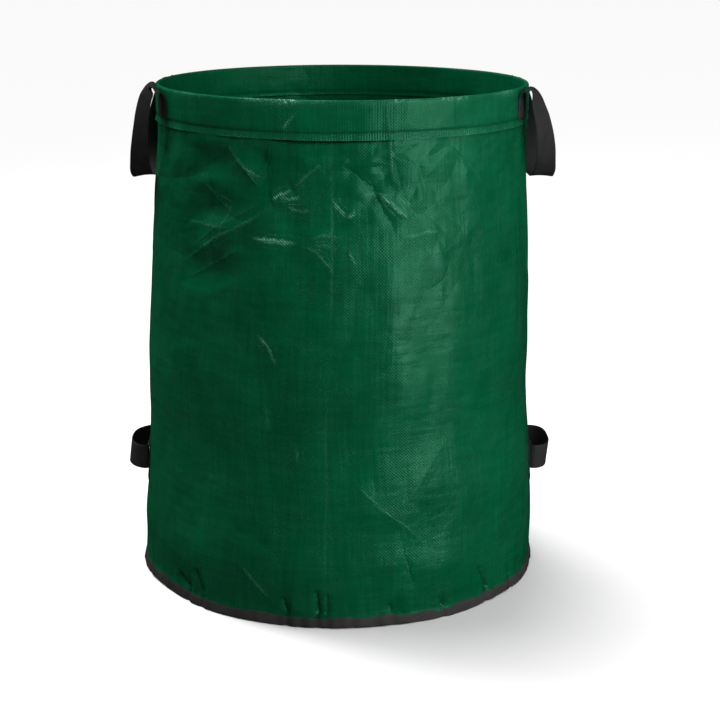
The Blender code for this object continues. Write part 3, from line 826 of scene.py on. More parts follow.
def makeRivetMaterial():
    material, tree, shader = newMaterial("rivetMetal", 0.34, 0.5, 1.0)
    grain = noiseAt(tree, solidPlace(tree), 500.0, 3.0)["Fac"]
    colour = blendColours(tree, grain, (0.48, 0.48, 0.49, 1), (0.68, 0.68, 0.67, 1))
    finishShader(tree, shader, colour, rangeOf(tree, grain, 0.3, 0.7, 0.26, 0.46), [(grain, 0.25, 0.0001)])
    return material


panelFabric = makeFabric("panelFabric")
hemFabric = makeFabric("hemFabric", lift=1.05, ribs=0.0041, evenRub=0.12, twill=0.12, handled=0.35)
strapWebbing = makeWebbingMaterial()
bindingTape = makeTapeMaterial()
greenThread = makeThreadMaterial("greenThread", (0.004, 0.045, 0.020, 1))
blackThread = makeThreadMaterial("blackThread", (0.045, 0.045, 0.047, 1))
hoopPlastic = makeHoopMaterial()
rivetMetal = makeRivetMaterial()
print("materials made")


# Wall panels: each half of the bag as a flat cut, the front half refined where it creases, then stood up
panels = {
    "cell": 0.0062,
    "thickness": 0.0005,
    "low": 0.0012,
    "high": 0.7985,
    "frontHalf": math.radians(90 + 5.2),
    "backHalf": math.radians(90),
    "inHem": 0.0008,                      # the wall steps in where the hem covers it, from this height
    "stepFrom": 0.7400,
    "stitchDraw": (0.0014, 0.0035),       # how far the hem's stitches draw it in, over what height
    "underLap": 0.0009,                   # the back panel steps in under the front one
    "lap": (0.034, 0.045),                # and does so over this stretch from its side edges
    "slack": {"middle": -0.055, "half": 0.27, "depth": 0.0016, "height": 0.7435, "spread": 0.0050},
    # painted shade: how far it reaches under the hem's edge, how dark it is at taut and slack places, and in
    # the pinches
    "shadeBands": {"reach": 0.0021, "thin": 0.30, "thick": 1.20, "pinch": 0.32, "pinchHeight": 0.014},
    "creaseZones": (0.012, 0.0045),       # faces are halved near creases and folds, again near creases
    "edgeZone": (-0.016, 0.090, 0.002),   # and under the hem's edge: middle, half width, how far below
}


def refineCreases(piece, reach, creases):
    # smaller faces round the creases, while the cloth is still flat
    pickOnly(piece)
    middles = np.empty(len(piece.data.polygons) * 3)
    piece.data.polygons.foreach_get("center", middles)
    along, height = middles.reshape(-1, 3)[:, 0], middles.reshape(-1, 3)[:, 1]
    middle, half, below = panels["edgeZone"]
    near = np.hypot(np.maximum(np.abs(along - middle) - half, 0), height - bagSkin["hemEdge"] + below)
    for crease in creases:
        near = np.minimum(near, creaseReach(along / bagSkin["meanRadius"], height, crease)[0])
    bpy.ops.object.mode_set(mode="EDIT")
    bpy.ops.mesh.select_mode(type="FACE")
    bpy.ops.mesh.select_all(action="DESELECT")
    bpy.ops.object.mode_set(mode="OBJECT")
    piece.data.polygons.foreach_set("select", near < reach)
    bpy.ops.object.mode_set(mode="EDIT")
    bpy.ops.mesh.subdivide(number_cuts=1)
    bpy.ops.mesh.select_mode(type="VERT")
    bpy.ops.object.mode_set(mode="OBJECT")


def panelPaintedShade(angle, height, slackness):
    # painted shade: darker under the hem's edge, most where the wall hangs slack at the front, and in the
    # pinches of the foot
    shadeBands = panels["shadeBands"]
    under = np.maximum(bagSkin["hemEdge"] - 0.0012 - height, 0)
    paintedShade = np.where(height < bagSkin["hemEdge"] + 0.001, np.exp(-(under / shadeBands["reach"]) ** 2), 0)
    paintedShade = paintedShade * (shadeBands["thin"] + (shadeBands["thick"] - shadeBands["thin"]) * slackness)
    rising = np.exp(-np.maximum(height - shadeBands["pinchHeight"], 0) / shadeBands["pinchHeight"])
    for turn, depth in footPinches:
        pinch = np.exp(-(apart(np.degrees(angle), turn) / 0.7) ** 2)
        paintedShade = np.maximum(paintedShade, shadeBands["pinch"] * depth * pinch * rising)
    return np.clip(paintedShade, 0, 1)


def makePanel(name, halfTurn, middle, replaced):
    reach = halfTurn * bagSkin["meanRadius"]
    tall = panels["high"] - panels["low"]
    piece = addGrid(name, int(2 * reach / panels["cell"]), int(tall / panels["cell"]),
                    (-reach, panels["low"]), (reach, panels["high"]))
    if middle == 0:
        wide, close = panels["creaseZones"]
        folds = [{"path": facet["edge"] + facet["edge"][:1]} for facet in wallFacets]
        refineCreases(piece, wide, placedCreases + folds)
        refineCreases(piece, close, placedCreases)
    flat = readCorners(piece)
    height = flat[:, 1]
    writeUV(piece, flat[:, 0] + middle * bagSkin["meanRadius"], height)
    angle = flat[:, 0] / bagSkin["meanRadius"] + middle
    drawn, drawnHeight = panels["stitchDraw"]
    off = np.where(height > bagSkin["hoopBottom"], -panels["inHem"], 0.0)
    off = off - drawn * np.exp(-((height - bagSkin["groove"]) / drawnHeight) ** 2)
    off = off - panels["inHem"] * fade(height, panels["stepFrom"], bagSkin["hemEdge"])
    if middle:
        inner, outer = panels["lap"]
        off = off - panels["underLap"] * fade(np.abs(flat[:, 0]), reach - outer, reach - inner)
    # at the front the wall hangs slack under the hem and leaves a gap that lies in shade
    slack = panels["slack"]
    slackness = np.exp(-((angle - slack["middle"]) / slack["half"]) ** 6)
    off = off - slack["depth"] * slackness * np.exp(-((height - slack["height"]) / slack["spread"]) ** 2)
    writeCreaseMasks(piece, angle, height, 0.0, panelPaintedShade(angle, height, slackness))
    writeCorners(piece, skinPlace(angle, height, off))
    applyModifier(piece, "SOLIDIFY", thickness=panels["thickness"], offset=-1, use_even_offset=True)
    smoothFaces(piece, 60)
    dress(piece, panelFabric)
    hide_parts(replaced)
    return piece


frontPanel = makePanel("bag_front_panel", panels["frontHalf"], 0.0, "wall_front")
backPanel = makePanel("bag_back_panel", panels["backHalf"], math.pi, "wall_back")
print("wall panels made:", len(frontPanel.data.polygons), "and", len(backPanel.data.polygons), "faces")


def makeBand(name, section, columns, relief):
    # a strip of cloth that runs once round the bag: section lists (distance off the skin, height)
    steps = [math.dist(a, b) for a, b in zip(section, section[1:])]
    lengths = np.cumsum([0.0] + steps)
    piece = addGrid(name, columns, len(section) - 1, (-math.pi, 0), (math.pi, len(section) - 1))
    flat = readCorners(piece)
    row = np.rint(flat[:, 1]).astype(int)
    angle = flat[:, 0]
    off, height = np.array(section)[row].T
    writeUV(piece, angle * bagSkin["meanRadius"], lengths[row])
    writeCorners(piece, relief(angle, height, off, row))
    return piece, angle, height, row


# Hem: the folded band that holds the hoop, with its cut edge standing off below the stitches
hem = {
    "columns": 640,
    "rim": 0.300,
    "fold": 0.0071,
    "thickness": 0.0005,
    "edge": bagSkin["hemEdge"],
    "groove": bagSkin["groove"],
    "innerEdge": 0.7500,
    "gap": 0.0011,                # how far the cut edge stands off all round
    "standing": 0.0024,           # and further at the front
    "rubs": ((-17, 5, 1.0), (-27, 4, 0.6), (-8, 5, 0.6), (14.5, 2.2, 1.0), (20, 4, 0.4), (34, 6, 0.8),
             (58, 5, 0.5), (-52, 6, 0.4), (95, 8, 0.6), (140, 7, 0.8), (172, 6, 0.5), (-158, 9, 0.7),
             (-118, 5, 0.6)),     # degrees round, half width, wear
    # rows of the section, counted from the outer cut edge: the stitched one, and the first ones past the
    # ribbed band, the groove darkened by painted shade, the creased face, the outer face and the rubbed rim
    "rows": {"groove": 5, "band": 6, "paintedDark": 10, "creased": 16, "outer": 17, "rubbed": 24},
}


def hemSection():
    # from the cut edge outside, up over the rim and down to the cut edge inside
    bend = hem["fold"] / 2
    out = hem["rim"]
    line = [(out - 0.0008, hem["edge"]), (out - 0.0007, 0.7470), (out - 0.0008, 0.7495),
            (out - 0.0010, 0.7520), (out - 0.0013, 0.7540), (out - 0.0016, hem["groove"]),
            (out - 0.0010, 0.7570), (out - 0.0003, 0.7585), (out, 0.7605), (out + 0.0001, 0.7660),
            (out + 0.0001, 0.7720), (out, 0.7780), (out, 0.7840), (out, 0.7900), (out, 0.7955)]
    for step in range(13):
        turn = math.pi * step / 12
        line.append((out - bend + bend * math.cos(turn), bagSkin["top"] + bend * math.sin(turn)))
    inside = out - hem["fold"]
    line += [(inside, 0.7955), (inside, 0.7880), (inside, 0.7790), (inside, 0.7700), (inside, 0.7620),
             (inside + 0.0006, 0.7585), (inside + 0.0021, hem["groove"]), (inside + 0.0018, 0.7530),
             (inside + 0.0016, hem["innerEdge"])]
    return line


def hemRelief(angle, height, off, row):
    gather = wavesOf("gathers", angle, height) * 1.2
    slow = wavesOf("hemSlow", angle, height)
    crinkle = wavesOf("hemCrinkle", angle, height)
    below = np.exp(-np.maximum(height - hem["edge"], 0) / 0.008)
    standing = hem["standing"] * np.exp(-((angle + 0.05) / 0.24) ** 4)
    push = below * (gather + hem["gap"] * (0.7 + 0.6 * slow) + standing) + crinkle
    for crease in wallCreases:
        push = push + crease["rise"] * 0.55 * mm * np.exp(-creaseReach(angle, height, crease)[0] / 0.006)
    radius = off + push * (row < hem["rows"]["outer"])
    return roundPlace(angle, radius, height, np.interp(height, skinHeights, skinLean))


def makeHem():
    section = hemSection()
    piece, angle, height, row = makeBand("hem_band", section, hem["columns"], hemRelief)
    rubbed = 0.15 * np.clip(wavesOf("hemRub", angle, height), 0, 1)
    for middle, half, worn in hem["rubs"]:
        rubbed = rubbed + worn * np.exp(-(apart(np.degrees(angle), middle) / half) ** 2)
    rubbed = (0.75 * rubbed + 0.05) * fade(height, 0.7920, 0.8015) * (row < hem["rows"]["rubbed"])
    # the flange's cut edge is paler: partly wear, partly a painted highlight where the flange tilts up to the
    # light
    edge = 0.35 * np.exp(-np.abs(height - hem["edge"]) / 0.004) * (row < hem["rows"]["band"])
    # painted shade along the groove under the stitches
    groove = 0.55 * np.exp(-((height - hem["groove"]) / 0.0011) ** 2) * (row < hem["rows"]["paintedDark"])
    creased = np.where(row < hem["rows"]["creased"], height, -1.0)
    writeCreaseMasks(piece, angle, creased, np.clip(rubbed + edge, 0, 1), groove)
    closeSeam(piece)
    applyModifier(piece, "SOLIDIFY", thickness=hem["thickness"], offset=-1, use_even_offset=True)
    smoothFaces(piece, 60)
    dress(piece, hemFabric)
    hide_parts("hem_sleeve")
    return piece


hemBand = makeHem()
print("hem made:", len(hemBand.data.polygons), "faces")


# Base panel and the tape that binds its seam to the wall
foot = {
    "columns": 288,
    "tapeColumns": 512,
    "radius": 0.3235,
    "flat": 0.2760,               # the base lies flat out to here
    "rise": 0.0045,
    "depth": 0.0021,              # from the wall's outer face to the base's seam allowance
    "panelThickness": 0.0005,
    "tape": 0.0007,
    "tapeOff": 0.0003,            # the tape's clearance over the wall
    "bound": 0.0145,
    "boundInside": 0.0095,
    "wornRow": 44,                # from this ring out, the base is a little rubbed
    "mound": 0.0009,              # how high the base mounds in its middle, and its ridges further out
    "ridges": 0.0008,
}


def footLean():
    return float(np.interp(foot["bound"], skinHeights, skinLean))


def seamRadius(height):
    return foot["radius"] + (bagSkin["foot"] - height) * bagSkin["splay"]


def settle(angle, height, off, row):
    # the base mounds a little in its middle, is ridged round it, and follows the foot's waves
    out, lift = footWave(angle)
    near = fade(off, 0.20, 0.31)
    mound = foot["mound"] * (1.1 + wavesOf("mound", angle, off * 40)) * fade(off, 0.0, 0.03)
    mound = mound * fade(off, 0.300, 0.26)
    ridged = foot["ridges"] * np.abs(wavesOf("ridges", angle, off * 90)) * fade(off, 0.10, 0.2)
    up = np.maximum(height + np.maximum(mound, 0) + ridged * (height < 0.012) + lift * near, 0.0)
    return roundPlace(angle, off + out * near, up, footLean() * near)


def makeBasePanel():
    # rings from the middle of the base out to the seam and down inside it
    outer = seamRadius(bagSkin["foot"]) - foot["depth"]
    rings = [(foot["flat"] * share, 0.0) for share in np.linspace(0.004, 1, 46)]
    rings += [(foot["flat"] + 0.0065, foot["rise"] * 0.30), (foot["flat"] + 0.013, foot["rise"] * 0.75),
              (outer - 0.009, 0.0085), (outer - 0.002, 0.0150), (outer, bagSkin["foot"]),
              (seamRadius(0.010) - foot["depth"], 0.0100), (seamRadius(0.0025) - foot["depth"], 0.0025)]
    piece, angle, height, row = makeBand("base_sheet", rings, foot["columns"], settle)
    writeCreaseMasks(piece, angle, height * 0 - 1.0, 0.25 * (row > foot["wornRow"]), 0.0)
    # the ring of points at the middle closes to a pole
    closeSeam(piece)
    bm = bmesh.new()
    bm.from_mesh(piece.data)
    hole = [edge for edge in bm.edges if edge.is_boundary and edge.verts[0].co.xy.length < 0.01]
    bmesh.ops.holes_fill(bm, edges=hole, sides=0)
    bm.to_mesh(piece.data)
    bm.free()
    faceOutwards(piece)
    applyModifier(piece, "SOLIDIFY", thickness=foot["panelThickness"], offset=1)
    smoothFaces(piece, 50)
    dress(piece, panelFabric)
    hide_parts("base_panel")


def bindingSection():
    # closed outline of the folded tape, off the seam line and up it
    tape = foot["tape"]
    bound, boundInside = foot["bound"], foot["boundInside"]
    out, inner = foot["tapeOff"], -foot["depth"] - 0.0006
    outside = [(out, bound), (out + tape * 0.6, bound + 0.0002), (out + tape, bound - 0.0003),
               (out + tape + 0.0002, 0.0115), (out + tape + 0.0003, 0.0085), (out + tape + 0.0002, 0.0050),
               (out + tape, 0.0022), (out + tape * 0.6, 0.0007), (out - 0.0004, 0.0001)]
    under = [(inner + 0.0004, 0.0001), (inner - tape * 0.6, 0.0007), (inner - tape, 0.0022)]
    inside = [(inner - tape, 0.0060), (inner - tape, boundInside - 0.0003), (inner - tape * 0.5, boundInside),
              (inner, boundInside - 0.0003), (inner, 0.0050), (inner, tape + 0.0003), (out, tape + 0.0003),
              (out, 0.0050), (out, 0.0100), (out, bound)]
    return outside + under + inside


def bindingPlace(angle, height, off, row=None):
    out, lift = footWave(angle)
    tuck = wavesOf("tapeTuck", angle, height)
    sway = wavesOf("tapeSway", angle, height) * fade(height, 0.004, foot["bound"])
    radius = seamRadius(height) + off + out + tuck * fade(height, -0.002, 0.004)
    return roundPlace(angle, radius, np.maximum(height + lift + sway, 0.0), footLean())


def makeBinding():
    piece = makeBand("foot_binding", bindingSection(), foot["tapeColumns"], bindingPlace)[0]
    closeSeam(piece)
    faceOutwards(piece)
    smoothFaces(piece, 50)
    dress(piece, bindingTape)
    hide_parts("base_binding")


makeBasePanel()
makeBinding()
print("base and binding made")


# Straps: webbing swept along a path, with rounded edges
strap = {
    "width": 0.040,
    "thickness": 0.0015,
    "ring": 9,                    # points across each face of the webbing
    "tabDepth": 0.0475,           # how far the sewn ends reach down from the bag's top
}
sides = (("left", -1), ("right", 1))
tabEnds = (("front", -1), ("back", 1))


def smoothPath(points, parts):
    # a smooth curve through the points, with so many parts to each stretch
    ends = np.vstack([2 * points[0] - points[1], points, 2 * points[-1] - points[-2]])
    curve = []
    for before, a, b, after in zip(ends, ends[1:], ends[2:], ends[3:]):
        for step in range(parts):
            t = step / parts
            curve.append(0.5 * (2 * a + (b - before) * t + (2 * before - 5 * a + 4 * b - after) * t * t
                                + (3 * a - before - 3 * b + after) * t ** 3))
    curve.append(points[-1])
    return np.array(curve)


def unit(rows):
    return rows / np.maximum(np.linalg.norm(rows, axis=1, keepdims=True), 1e-9)


def strapRing(width, thickness, count):
    # one section of the webbing, once round its edge: (across, through)
    shares = np.linspace(-1, 1, count) * (width / 2 - thickness * 0.45)
    top = [(share, thickness / 2) for share in shares]
    rounded = width / 2 - thickness * 0.12
    edge = [(rounded, thickness * 0.32), (width / 2, 0.0), (rounded, -thickness * 0.32)]
    return top + edge + [(-across, -through) for across, through in top + edge]


def sweepStrap(name, path, across, curl, flute, seed):
    # webbing along a path: its width points across, and it curls and flutes a little
    along = unit(np.gradient(path, axis=0))
    across = unit(across - along * (across * along).sum(axis=1, keepdims=True))
    through = np.cross(across, along)
    travelled = np.concatenate([[0], np.cumsum(np.linalg.norm(np.diff(path, axis=0), axis=1))])
    ring = strapRing(strap["width"], strap["thickness"], strap["ring"])
    ring = np.array(ring + ring[:1])
    piece = addGrid(name, len(path) - 1, len(ring) - 1, (0, 0), (len(path) - 1, len(ring) - 1))
    at, row = np.rint(readCorners(piece)[:, :2]).astype(int).T
    offAcross, offThrough = ring[row].T
    wave = foldWaves(travelled[at] * 20, offAcross * 0, seed, 4, (1, 6), (0, 0))
    offThrough = offThrough - curl[at] * offAcross ** 2 / 2
    offThrough = offThrough + flute * wave * (offAcross / (strap["width"] / 2)) ** 2
    halfWay = np.where(row <= strap["ring"] + 1, offAcross, 2 * strap["width"] - offAcross)
    writeUV(piece, travelled[at], halfWay)
    writeCorners(piece, path[at] + across[at] * offAcross[:, None] + through[at] * offThrough[:, None])
    closeSeam(piece)
    editAll(piece, bpy.ops.mesh.fill_holes, sides=0)
    faceOutwards(piece)
    smoothFaces(piece, 50)
    piece.data.materials.clear()
    piece.data.materials.append(strapWebbing)
    return piece


# Carry straps: each leaves its tabs on the hem, turns over and hangs on edge beside the bag. Places are
# for the right-hand side, each with the direction of the width; the two straps differ only at the front
carryStraps = {
    "root": 0.110,                # from the middle of its side to the middle of each sewn end
    "seat": 0.3003,               # radius of the hem under them
    "near": {
        "left": (
            ((.2880, -.1100, .8000), (.03, 1.0, .02)), ((.2912, -.1098, .8034), (.14, .98, .05)),
            ((.2956, -.1090, .8042), (.30, .94, .10)), ((.3006, -.1080, .7960), (.48, .87, .12)),
            ((.3062, -.1070, .7830), (.56, .82, .06)), ((.3125, -.1030, .7550), (.62, .78, .02)),
            ((.3170, -.0940, .7240), (.66, .75, .00)), ((.3200, -.0780, .6934), (.70, .70, -.04)),
            ((.3213, -.0520, .6667), (.76, .62, -.10)), ((.3208, -.0240, .6541), (.84, .46, -.15)),
            ((.3190, .0010, .6510), (.90, .34, -.17))),
        "right": (
            ((.2880, -.1100, .7985), (.03, 1.0, -.01)), ((.2912, -.1099, .7994), (.14, .98, -.02)),
            ((.2955, -.1093, .7966), (.32, .94, -.03)), ((.3005, -.1083, .7890), (.46, .88, -.03)),
            ((.3052, -.1072, .7770), (.55, .83, .00)), ((.3120, -.1035, .7540), (.64, .77, .00)),
            ((.3192, -.0940, .7240), (.70, .70, .00)), ((.3230, -.0780, .6934), (.74, .66, -.03)),
            ((.3238, -.0520, .6667), (.78, .60, -.06)), ((.3236, -.0240, .6535), (.84, .48, -.08)),
            ((.3225, .0010, .6502), (.92, .30, -.10))),
    },
    "far": (
        ((.3175, .0260, .6535), (.95, .14, -.12)), ((.3142, .0530, .6667), (.93, -.16, -.10)),
        ((.3115, .0790, .6934), (.86, -.46, -.06)), ((.3095, .0940, .7240), (.76, -.64, -.02)),
        ((.3062, .1030, .7550), (.62, -.78, .00)), ((.3010, .1078, .7820), (.45, -.89, .02)),
        ((.2968, .1092, .7925), (.32, -.94, .03)), ((.2920, .1099, .7975), (.16, -.98, .02)),
        ((.2880, .1100, .7985), (.03, -1.0, .01))),
    "bend": ((0.2887, 0.0, 0.808), (0.2935, 0.0, 0.808)),
}


def tabMiddle():
    # how far round the hem, from its side, the middle of each sewn end lies
    return math.asin(carryStraps["root"] / carryStraps["seat"])


def tabPlaces(end):
    # the sewn end from its lower edge up to where it leaves the hem, on the front (-1) or back (1)
    middle = tabMiddle()
    x = math.cos(middle) * (carryStraps["seat"] + strap["thickness"] / 2)
    y = math.sin(middle) * (carryStraps["seat"] + strap["thickness"] / 2)
    low = bagSkin["height"] - strap["tabDepth"]
    places = []
    for height, off, turned in ((low, 0, 0), (low + 0.010, 0, 0), (low + 0.020, 0, 0), (low + 0.029, 0, 0),
                                (0.7900, 0.0004, 0.1), (0.7935, 0.0012, 0.3), (0.7965, 0.0030, 0.6),
                                (0.7982, 0.0054, 0.9)):
        tangent = (math.sin(middle) * (1 - turned), -end * (math.cos(middle) * (1 - turned) + turned), 0)
        places.append(((x + off, end * y, height), tangent, (1 - turned) / carryStraps["seat"]))
    return places


def makeCarryStrap(side, sign):
    loop = [(place, width, 0.0) for place, width in carryStraps["near"][side] + carryStraps["far"]]
    points, widths, curls = zip(*(tabPlaces(-1) + loop + tabPlaces(1)[::-1]))
    path = smoothPath(np.array(points) * np.array([sign, 1, 1]), 7)
    across = smoothPath(np.array(widths) * np.array([1, sign, sign]), 7)
    curl = smoothPath(np.array(curls)[:, None], 7)[:, 0]
    piece = sweepStrap("carry_strap_" + side, path, across, curl, 0.0006, 80 + sign)
    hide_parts("carry_loop_" + side, "carry_tab_%s_front" % side, "carry_tab_%s_back" % side)
    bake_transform(piece)


for side, sign in sides:
    makeCarryStrap(side, sign)
print("carry straps made")


# Tipping straps low on each side, their ends turned in and sewn over a patch
tipping = {
    "root": 0.057,                               # from the middle of its side to where the loop starts
    "height": 0.1845,
    "reach": {"left": 0.0340, "right": 0.0335},
    "fullness": {"left": 2.1, "right": 3.0},     # 2 is an ellipse, more is squarer
    "tilt": {"left": 0.12, "right": -0.11},      # how far the lower edge leans out
    "tab": 0.030,                                # length of each sewn end
    "firstTurn": 0.10,                           # where the loop leaves its ends, in radians
    "patch": 0.0010,
    "patchOff": 0.0004,                          # clearance over the wall, and of the strap over the patch
    "strapOff": 0.0003,
    "patchHalf": 0.061,
    "patchLow": 0.146,
    "patchHigh": 0.208,
    "wallRadius": 0.318,
    "bend": (0.0015, 0.0085),
}


def onSide(sign, across, height, off):
    # the place on a side of the bag at a distance across from the middle of that side
    radius = float(np.interp(height, skinHeights, skinRadii))
    angle = sign * (math.pi / 2 + math.asin(across / radius))
    return skinPlace(np.array([angle]), np.array([height]), off)[0]


def makeTippingStrap(side, sign):
    off = tipping["patchOff"] + tipping["patch"] + tipping["strapOff"] + strap["thickness"] / 2
    root, height, reach = tipping["root"], tipping["height"], tipping["reach"][side]
    power = 2 / tipping["fullness"][side]
    seat = onSide(sign, root, height, off)[0]
    sewn = np.linspace(root - tipping["tab"], root - 0.003, 6)
    points = [onSide(sign, -across, height, off) for across in sewn]
    for step in np.linspace(tipping["firstTurn"], math.pi - tipping["firstTurn"], 31):
        out = reach * math.sin(step) ** power
        along = -root * math.copysign(abs(math.cos(step)) ** power, math.cos(step))
        points.append(np.array([seat + sign * (out + 0.0012), along, height]))
    points += [onSide(sign, across, height, off) for across in sewn[::-1]]
    path = smoothPath(np.array(points), 4)
    widths = np.zeros_like(path)
    widths[:, 2] = -sign
    widths[:, 0] = tipping["tilt"][side] * np.clip(np.abs(path[:, 0] - seat) / reach, 0, 1)
    piece = sweepStrap("tipping_strap_" + side, path, widths, np.zeros(len(path)), 0.0004, 90 + sign)
    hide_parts("tipping_loop_" + side, "tipping_tab_%s_front" % side, "tipping_tab_%s_back" % side)
    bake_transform(piece)


def makePatch(side, sign):
    half = tipping["patchHalf"]
    piece = addGrid("strap_patch_" + side, 40, 20, (-half, tipping["patchLow"]), (half, tipping["patchHigh"]))
    along, height = readCorners(piece)[:, :2].T
    angle = sign * (math.pi / 2) + along / tipping["wallRadius"]
    writeUV(piece, along, height)
    puff = 0.0002 * foldWaves(angle * 3, height * 30, 95 + sign, 4, (1, 5), (1, 3))
    puff = puff + 0.0001 * fade(np.abs(along), half, half - 0.006)
    writeCorners(piece, skinPlace(angle, height, tipping["patchOff"] + tipping["patch"] + puff))
    applyModifier(piece, "SOLIDIFY", thickness=tipping["patch"], offset=-1)
    applyModifier(piece, "BEVEL", width=0.0003, segments=2, limit_method="ANGLE",
                  angle_limit=math.radians(50))
    smoothFaces(piece, 50)
    dress(piece, bindingTape)
    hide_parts("tipping_patch_" + side)


for side, sign in sides:
    makePatch(side, sign)
    makeTippingStrap(side, sign)
print("tipping straps made")


# Stitches: one small thread, copied along each sewn line
thread = {
    "length": 0.0030,
    "pitch": 0.0041,
    "boxPitch": 0.0034,
    "radius": 0.00028,
    "off": 0.0001,                  # from the cloth's face to the middle of the thread
    "boxHalf": 0.0155,              # sewn boxes, half across the webbing
    "tabBox": (0.004, 0.029),       # and up from a carry tab's lower edge
    "tippingBox": (0.0300, 0.0525),
    "patchEdge": 0.003,
    "seams": (91.6, 94.1),          # degrees round from the front, and the seams' ends
    "seamHeights": (0.022, 0.742),
    "bindingHeight": 0.0118,
    "bindingRadius": 0.327,
}


def makeStitchShape():
    # a short thread lying along X, its ends dipping into the cloth
    bpy.ops.object.select_all(action="DESELECT")
    bpy.ops.mesh.primitive_cylinder_add(vertices=6, radius=thread["radius"], depth=thread["length"],
                                        end_fill_type="TRIFAN", rotation=(0, math.pi / 2, 0))
    shape = bpy.context.active_object
    bpy.ops.object.transform_apply(location=False, rotation=True, scale=False)
    for quarter in (-0.25, 0.25):
        editAll(shape, bpy.ops.mesh.bisect, plane_co=(thread["length"] * quarter, 0, 0), plane_no=(1, 0, 0))
    corners = readCorners(shape)
    ends = (np.abs(corners[:, 0]) / (thread["length"] / 2)) ** 2
    corners[:, 2] -= thread["radius"] * 1.1 * ends
    faces = [tuple(face.vertices) for face in shape.data.polygons]
    bpy.data.objects.remove(shape, do_unlink=True)
    return corners, faces


stitchCorners, stitchFaces = makeStitchShape()


def sewLine(name, places, outs, material, ahead=None):
    # places are the stitches' middles, outs says which way the cloth faces; ahead are points further along
    along = unit(np.gradient(places, axis=0) if ahead is None else ahead - places)
    out = unit(outs - along * (outs * along).sum(axis=1, keepdims=True))
    axes = (along, np.cross(out, along), out)
    turned = places[:, None, :] + sum(axis[:, None, :] * stitchCorners[None, :, number:number + 1]
                                      for number, axis in enumerate(axes))
    size = len(stitchCorners)
    faces = [tuple(corner + size * number for corner in face)
             for number in range(len(places)) for face in stitchFaces]
    mesh = bpy.data.meshes.new(name)
    mesh.from_pydata(turned.reshape(-1, 3).tolist(), [], faces)
    piece = bpy.data.objects.new(name, mesh)
    scene.collection.objects.link(piece)
    smoothFaces(piece, 60)
    dress(piece, material)


def roundAngles(radius):
    # a stitch's pitch apart, once round the bag
    count = int(2 * math.pi * radius / thread["pitch"])
    return -math.pi + 2 * math.pi * np.arange(count) / count


def alongLine(lines):
    # stitches' middles along the straight runs between the corners, and a point ahead of each
    middles, ahead = [], []
    for corners in lines:
        corners = np.array(corners, dtype=float)
        for start, end in zip(corners, corners[1:]):
            count = max(round(np.linalg.norm(end - start) / thread["boxPitch"]), 1)
            for step in range(count):
                middles.append(start + (end - start) * (step + 0.5) / count)
                ahead.append(middles[-1] + (end - start) * 0.01)
    return np.array(middles), np.array(ahead)


def boxLines(low, high, left, right):
    # a sewn box with its cross
    return (((left, low), (right, low), (right, high), (left, high), (left, low), (right, high)),
            ((left, high), (right, low)))


def sewHem():
    angles = roundAngles(hem["rim"])
    ones = np.ones_like(angles)
    row = np.full(len(angles), hem["rows"]["groove"])
    places = hemRelief(angles, ones * hem["groove"], ones * (hem["rim"] - 0.0016 + thread["off"]), row)
    sewLine("hem_stitching", places, roundPlace(angles, 1), greenThread)


def sewBinding():
    angles = roundAngles(thread["bindingRadius"])
    ones = np.ones_like(angles)
    off = foot["tapeOff"] + foot["tape"] + 0.0003
    places = bindingPlace(angles, ones * thread["bindingHeight"], ones * off)
    sewLine("binding_stitching", places, roundPlace(angles, 1, bagSkin["splay"]), blackThread)


def sewWallSeams(side, sign):
    # two rows, where the front panel laps over the back one
    heights = np.arange(*thread["seamHeights"], thread["pitch"])
    for number, turn in enumerate(thread["seams"]):
        angles = np.full(len(heights), sign * math.radians(turn))
        sewLine("seam_stitching_%s_%d" % (side, number + 1), skinPlace(angles, heights, thread["off"]),
                roundPlace(angles, 1), greenThread)


def sewCarryTab(side, sign, place, end):
    seat = carryStraps["seat"] + strap["thickness"]
    low = bagSkin["height"] - strap["tabDepth"]
    bottom, top = [low + up for up in thread["tabBox"]]
    box = boxLines(bottom, top, -thread["boxHalf"], thread["boxHalf"])
    rows = []
    for flat in alongLine(box):
        angles = flat[:, 0] / seat + end * tabMiddle()
        outs = np.stack([sign * np.cos(angles), np.sin(angles), angles * 0], axis=1)
        rows.append(outs * (seat + thread["off"]) + np.stack([angles * 0, angles * 0, flat[:, 1]], axis=1))
    sewLine("tab_stitching_%s_%s" % (side, place), rows[0], outs, blackThread, rows[1])


def sewTippingEnd(side, sign, place, end):
    off = tipping["patchOff"] + tipping["patch"] + tipping["strapOff"] + strap["thickness"] + thread["off"]
    rows = []
    for flat in alongLine(boxLines(-thread["boxHalf"], thread["boxHalf"], *thread["tippingBox"])):
        places = np.array([onSide(sign, end * across, tipping["height"], off) for across in flat[:, 0]])
        places[:, 2] = tipping["height"] + flat[:, 1]
        rows.append(places)
    outs = rows[0] * np.array([1, 1, 0])
    sewLine("tipping_stitching_%s_%s" % (side, place), rows[0], outs, blackThread, rows[1])


def sewPatch(side, sign):
    # one row round the patch, near its edge
    wide = tipping["patchHalf"] - thread["patchEdge"]
    low, high = tipping["patchLow"] + thread["patchEdge"], tipping["patchHigh"] - thread["patchEdge"]
    rows = []
    for flat in alongLine((((-wide, low), (wide, low), (wide, high), (-wide, high), (-wide, low)),)):
        angles = sign * (math.pi / 2) + flat[:, 0] / tipping["wallRadius"]
        rows.append(skinPlace(angles, flat[:, 1], tipping["patchOff"] + tipping["patch"] + 2 * thread["off"]))
    sewLine("patch_stitching_" + side, rows[0], roundPlace(angles, 1), blackThread, rows[1])


